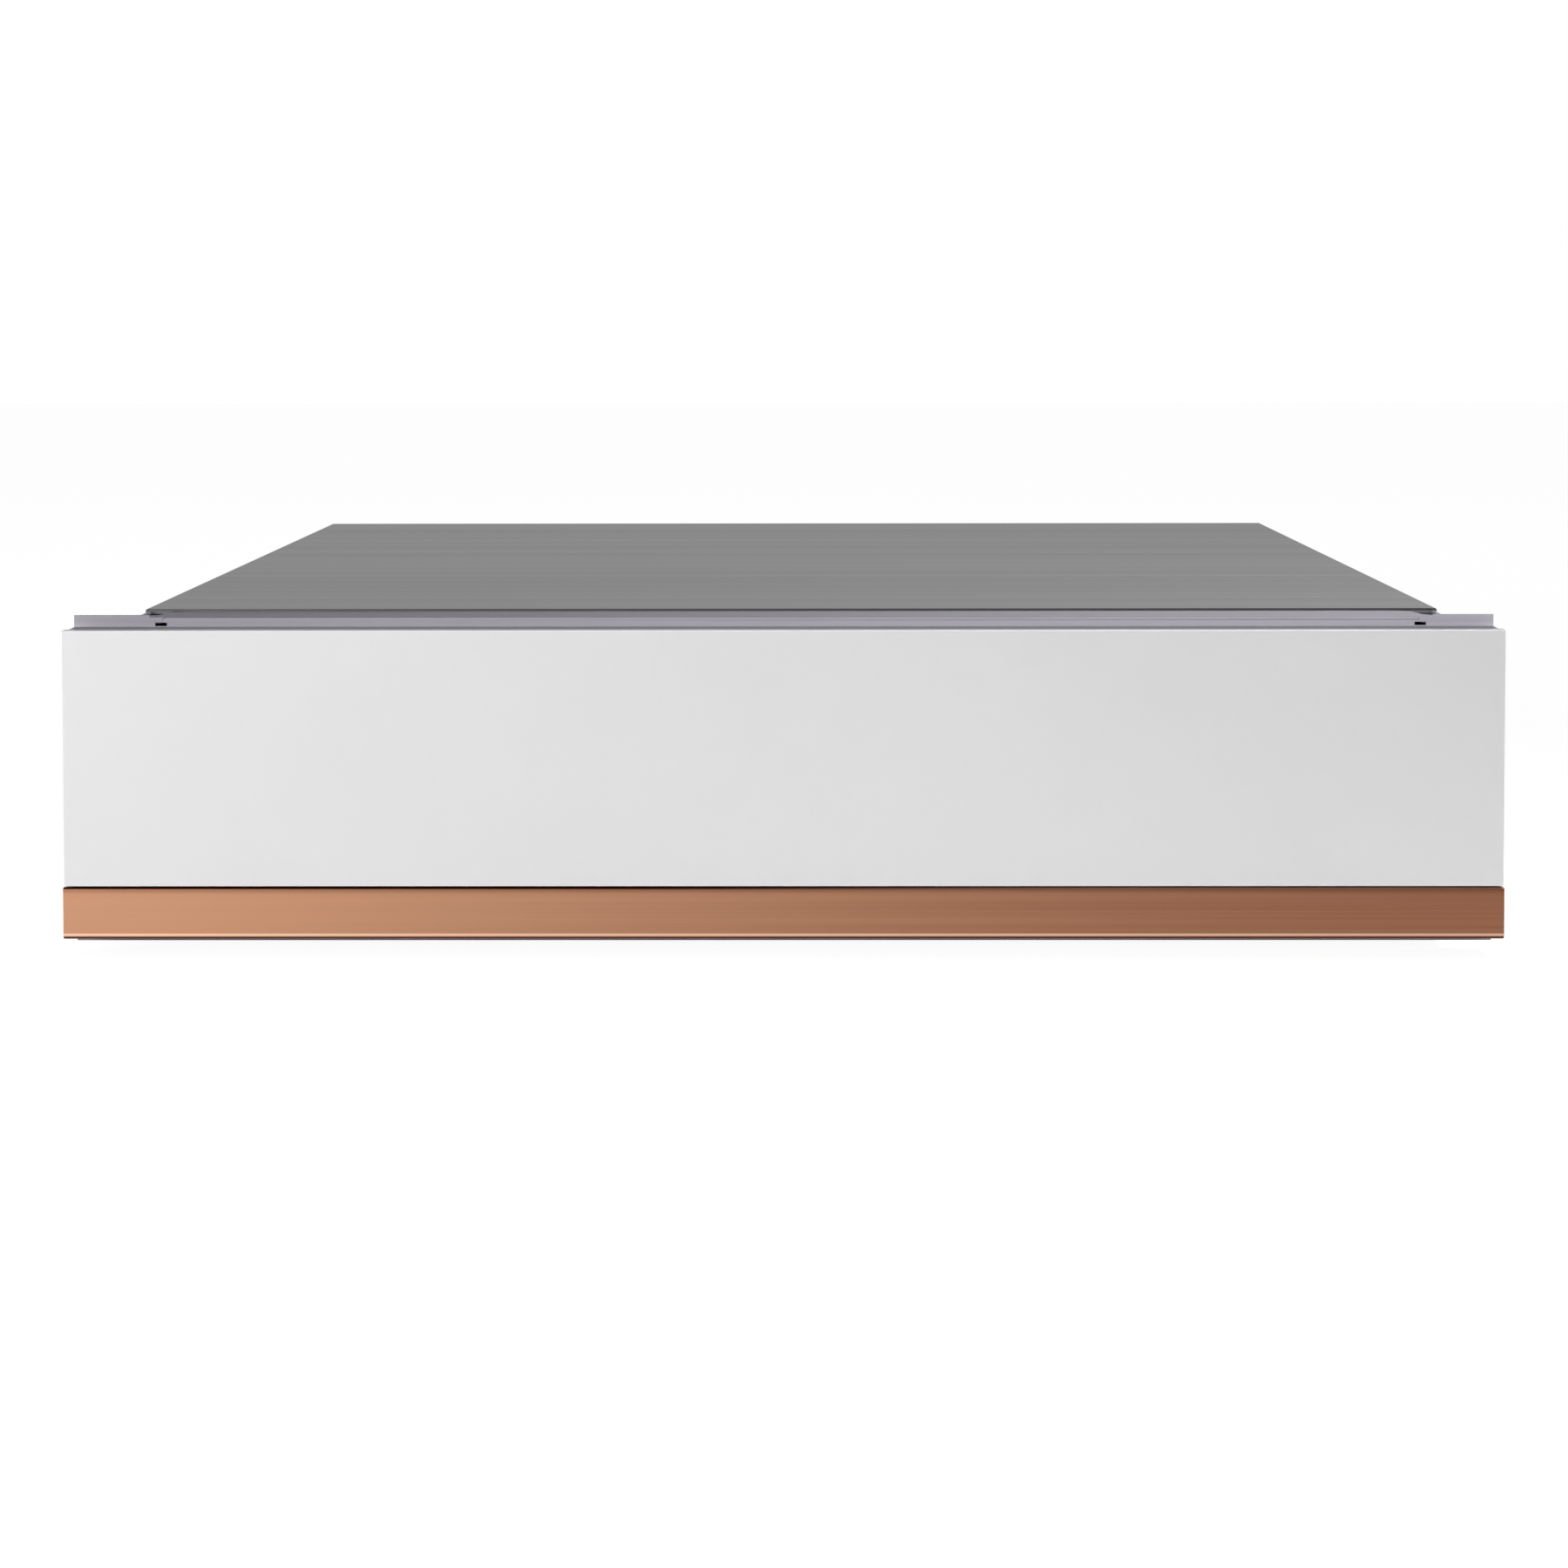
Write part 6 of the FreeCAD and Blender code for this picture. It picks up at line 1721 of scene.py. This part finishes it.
@dataclass
class Electrics:
    """Transformer and circuit boards."""

    sheet: float = 2.0 * MM
    overhang: float = 7.0 * MM
    core_corner: float = 3.0 * MM
    bobbin_flange: float = 2.0 * MM
    bobbin_corner: float = 4.0 * MM
    turns: int = 30
    winding_inset: float = 1.2 * MM
    tag_pitch: float = 9.0 * MM
    board: float = 1.6 * MM
    standoff: float = 11.0 * MM
    margin: float = 6.0 * MM
    capacitor: Corner = (8.0 * MM, 26.0 * MM)
    sink_fin: Place = (14.0 * MM, 1.0 * MM, 18.0 * MM)
    sink_pitch: float = 3.4 * MM
    sink_count: int = 10
    socket_size: Place = (8.5 * MM, 6.6 * MM, 9.0 * MM)
    socket_pitch: float = 7.6 * MM

    def build(self) -> None:
        """Build the transformer and dress both boards."""
        self._transformer()
        self._power_board()
        self._control_parts()

    def _transformer(self) -> None:
        """Stacked core plates round a bobbin with its winding and tags."""
        low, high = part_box("transformer")
        near, far, corner = low.y + self.overhang, high.y - self.overhang, self.core_corner
        count = int((high.x - low.x) / self.sheet)
        outline = [(near, low.z), (far, low.z), (far, high.z - corner), (far - corner, high.z),
                   (near + corner, high.z), (near, high.z - corner)]
        plate = Stock.profile(outline, Axis.X, low.x, low.x + self.sheet * 0.86)
        piece = Piece("wound_transformer")
        piece.row(plate, CORE_PLATE, count, (self.sheet, 0.0, 0.0))
        left, right = low.x + self.overhang, high.x - self.overhang
        bottom, top, flange = low.z + self.overhang, high.z - self.overhang, self.bobbin_flange
        rim = rounded((left, low.y), (right, high.y), self.bobbin_corner)
        for base in (bottom, top - flange):
            piece.add(Stock.profile(rim, Axis.Z, base, base + flange, 0.4 * MM), BLACK_PLASTIC)
        pitch, inset = (top - bottom - 2 * flange) / self.turns, self.winding_inset
        loop = rounded((left + inset, low.y + inset), (right - inset, high.y - inset), 5.0 * MM, 5)
        turn = Stock.profile(loop, Axis.Z, bottom + flange, bottom + flange + pitch, pitch * 0.4, 1, 60.0)
        piece.row(turn, WINDING, self.turns, (0.0, 0.0, pitch))
        first = (low.x + high.x) / 2 - 15.9 * MM
        for place in (low.y + 2.5 * MM, high.y - 3.3 * MM):
            tag = Stock.slab((0, 0, 0), (4.8 * MM, 0.8 * MM, 6.0 * MM), 0.25 * MM, 1)
            piece.row(tag, SCREW_STEEL, 4, (self.tag_pitch, 0.0, 0.0), (first, place, top - 0.5 * MM))
        piece.fit("drawer", "coil_black", "transformer")

    def _power_board(self) -> None:
        """Board on hexagon stand-offs, with capacitors, relays, a heat sink and small parts."""
        low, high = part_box("power_board")
        bottom = low.z + self.standoff
        top = bottom + self.board
        piece = Piece("populated_power_board")
        piece.add(Stock.slab((low.x, low.y, bottom), (high.x, high.y, top), 0.15 * MM, 1), BOARD_GREEN)
        corners = [(x, y) for x in (low.x + self.margin, high.x - self.margin)
                   for y in (low.y + self.margin, high.y - self.margin)]
        post = Stock.profile(hexagon(3.0 * MM), Axis.Z, 0, self.standoff, 0.2 * MM, 1)
        piece.stand(post, SCREW_STEEL, [((x, y, low.z), UP) for x, y in corners])
        head = Stock.turned(((0, 0), (2.8 * MM, 0), (2.6 * MM, 1.2 * MM), (1.6 * MM, 1.7 * MM),
                             (0, 1.7 * MM)), 20)
        piece.stand(head, SCREW_STEEL, [((x, y, top), UP) for x, y in corners])
        self._tall_parts(piece, (low + high) / 2, high.y - low.y, top)
        self._heat_sink(piece, high.x, low.y, top)
        self._small_parts(piece, low, top)
        piece.fit("drawer", "circuit_board", "power_board")

    def _tall_parts(self, piece: Piece, middle: Vector, length: float, top: float) -> None:
        """Two sleeved capacitors and three relays in a row along the board."""
        radius, height = self.capacitor
        end = height - 0.1 * MM
        sleeve = ((0, 0), (radius - 0.6 * MM, 0), (radius, 0.8 * MM), (radius, 2.4 * MM),
                  (radius - 0.9 * MM, 3.2 * MM), (radius, 4.0 * MM), (radius, end - 0.8 * MM),
                  (radius - 0.8 * MM, end), (radius - 1.6 * MM, end), (radius - 1.7 * MM, end - 0.4 * MM),
                  (0, end - 0.4 * MM))
        cans, relays = ([((middle.x, middle.y + (share - 0.5) * length, top), UP) for share in shares]
                        for shares in ((0.2, 0.35), (0.55, 0.7, 0.85)))
        piece.stand(Stock.turned(sleeve, 36), BLACK_PLASTIC, cans)
        piece.repaint(BALL_STEEL, lambda face: face.calc_center_median().z > top + height - 0.6 * MM)
        half_x, half_y = radius * 1.5, radius * 0.9
        relay = Stock.slab((-half_x, -half_y, 0), (half_x, half_y, height * 0.6), 0.8 * MM)
        piece.stand(relay, RELAY_CASE, relays)

    def _heat_sink(self, piece: Piece, right: float, near: float, top: float) -> None:
        """A base plate with upright fins at the board's right edge."""
        fin = Stock.slab((0, 0, 0), self.sink_fin, 0.2 * MM, 1)
        piece.row(fin, SATIN_ALUMINIUM, self.sink_count, (0.0, self.sink_pitch, 0.0),
                  (right - 17.0 * MM, near + 70.0 * MM, top + 1.5 * MM))
        base = Stock.slab((right - 17.5 * MM, near + 69.0 * MM, top),
                          (right - 2.5 * MM, near + 102.0 * MM, top + 2.0 * MM), 0.2 * MM, 1)
        piece.add(base, SATIN_ALUMINIUM)

    def _small_parts(self, piece: Piece, low: Vector, top: float) -> None:
        """Resistors, a chip with legs and a plug row along the board's left edge."""
        end, swell, neck = 0.9 * MM, 1.15 * MM, 0.95 * MM
        body = Stock.turned(((0, -3.2 * MM), (end, -3.0 * MM), (swell, -2.4 * MM), (neck, -1.6 * MM),
                             (neck, 1.6 * MM), (swell, 2.4 * MM), (end, 3.0 * MM), (0, 3.2 * MM)), 12)
        body.transform(turned_to((1, 0, 0), (0, 0, 0)))
        piece.row(body, RESISTOR, 9, (0.0, 4.2 * MM, 0.0),
                  (low.x + 8.0 * MM, low.y + 90.0 * MM, top + 1.3 * MM))
        chip = Vector((low.x + 6.0 * MM, low.y + 62.0 * MM, top + 0.5 * MM))
        piece.add(Stock.slab(chip, chip + Vector((7.0, 18.0, 3.2)) * MM, 0.3 * MM), BLACK_PLASTIC)
        leg = Stock.slab((-1.2 * MM, 0, -0.5 * MM), (8.2 * MM, 0.6 * MM, 1.2 * MM), 0.1 * MM, 1)
        piece.row(leg, SCREW_STEEL, 7, (0.0, 2.5 * MM, 0.0), chip + Vector((0, 1.2 * MM, 0)))
        socket = Stock.slab((0, 0, 0), self.socket_size, 0.5 * MM)
        piece.row(socket, WHITE_PLASTIC, 5, (0.0, self.socket_pitch, 0.0),
                  (low.x + 3.0 * MM, low.y + 136.0 * MM, top))

    def _control_parts(self) -> None:
        """Chips, lamps and a plug on the control board, under the touch panel."""
        low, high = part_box("control_board")
        top = low.z + self.board
        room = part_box("deck_plate")[0].z - top - 0.3 * MM
        middle = (low + high) / 2
        piece = Piece("control_board_parts")
        for share in (-0.22, 0.16):
            base = Vector((middle.x + share * (high.x - low.x), middle.y - 5.0 * MM, top + 0.3 * MM))
            piece.add(Stock.slab(base, base + Vector((10.0, 10.0, 1.4)) * MM, 0.25 * MM), BLACK_PLASTIC)
            leg = Stock.slab((0, -1.1 * MM, -0.3 * MM), (0.35 * MM, 11.1 * MM, 0.5 * MM), 0.05 * MM, 1)
            piece.row(leg, SCREW_STEEL, 11, (0.85 * MM, 0.0, 0.0), base + Vector((0.55 * MM, 0, 0)))
        lamp = Stock.slab((0, 0, 0), (1.6 * MM, 1.6 * MM, 1.0 * MM), 0.3 * MM)
        piece.row(lamp, PANEL_LAMP, 18, (11.0 * MM, 0.0, 0.0), (low.x + 30.0 * MM, high.y - 4.0 * MM, top))
        plug = Stock.slab((0, 0, 0), (22.0 * MM, 5.0 * MM, min(3.8 * MM, room)), 0.4 * MM)
        piece.add(plug, WHITE_PLASTIC, Matrix.Translation((middle.x - 11.0 * MM, low.y + 2.0 * MM, top)))
        piece.fit("drawer", "circuit_board")


@dataclass
class HousingDetails:
    """Feet under the housing and the pressed beads that stiffen its side walls."""

    nodes: dict[str, bpy.types.Object]
    foot_chamfer: float = 0.5 * MM
    foot_ring: float = 3.0 * MM
    foot_hollow: float = 0.7 * MM
    bead_count: int = 2
    bead_height: float = 7.0 * MM
    bead_proud: float = 0.7 * MM
    bead_sunk: float = 0.3 * MM
    bead_pitch: float = 20.0 * MM
    bead_lowest: float = 78.0 * MM
    bead_end_gap: float = 62.0 * MM

    def build(self) -> None:
        """Build the feet and the beads."""
        self._feet()
        self._beads()

    def _feet(self) -> None:
        """Rubber pads with a chamfer and a shallow hollow."""
        radius, height, seats = round_solids(self.nodes["rubber_feet"])
        cut, hollow = self.foot_chamfer, self.foot_hollow
        section = ((0, height), (radius, height), (radius, cut), (radius - cut, 0), (radius - self.foot_ring, 0),
                   (radius - self.foot_ring - 0.6 * MM, hollow), (0, hollow))
        piece = Piece("hollowed_rubber_feet")
        piece.stand(Stock.turned(section, 36), BLACK_RUBBER, seats)
        piece.fit("housing", "rubber", "rubber_feet")

    def _beads(self) -> None:
        """Long pressed beads on both side walls."""
        low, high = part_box("base_tray")
        piece = Piece("side_wall_beads")
        for side, wall in ((Side.LEFT, low.x), (Side.RIGHT, high.x)):
            near, far = sorted((wall - side.value * self.bead_sunk, wall + side.value * self.bead_proud))
            start, end = low.y + self.bead_end_gap, high.y - self.bead_end_gap
            bead = Stock.slab((near, start, 0), (far, end, self.bead_height), 0.6 * MM, 4)
            piece.row(bead, ZINC_SHEET, self.bead_count, (0.0, 0.0, self.bead_pitch), (0, 0, self.bead_lowest))
        piece.fit("housing", "galvanised_sheet")


def main() -> None:
    """Build the dressed drawer, one sub-assembly after the other."""
    logging.basicConfig(level=logging.INFO, format="%(message)s")
    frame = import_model()
    nodes = frame["nodes"]
    Studio().build()
    Construction(nodes).dress()
    for assembly in (Fasteners(nodes), DoorFront(), MountingFrame(nodes), TouchPanel(), Lid(), PumpUnit(nodes),
                     CoolingFan(), Valves(nodes), Electrics(), HousingDetails(nodes)):
        assembly.build()


if __name__ == "__main__":
    main()
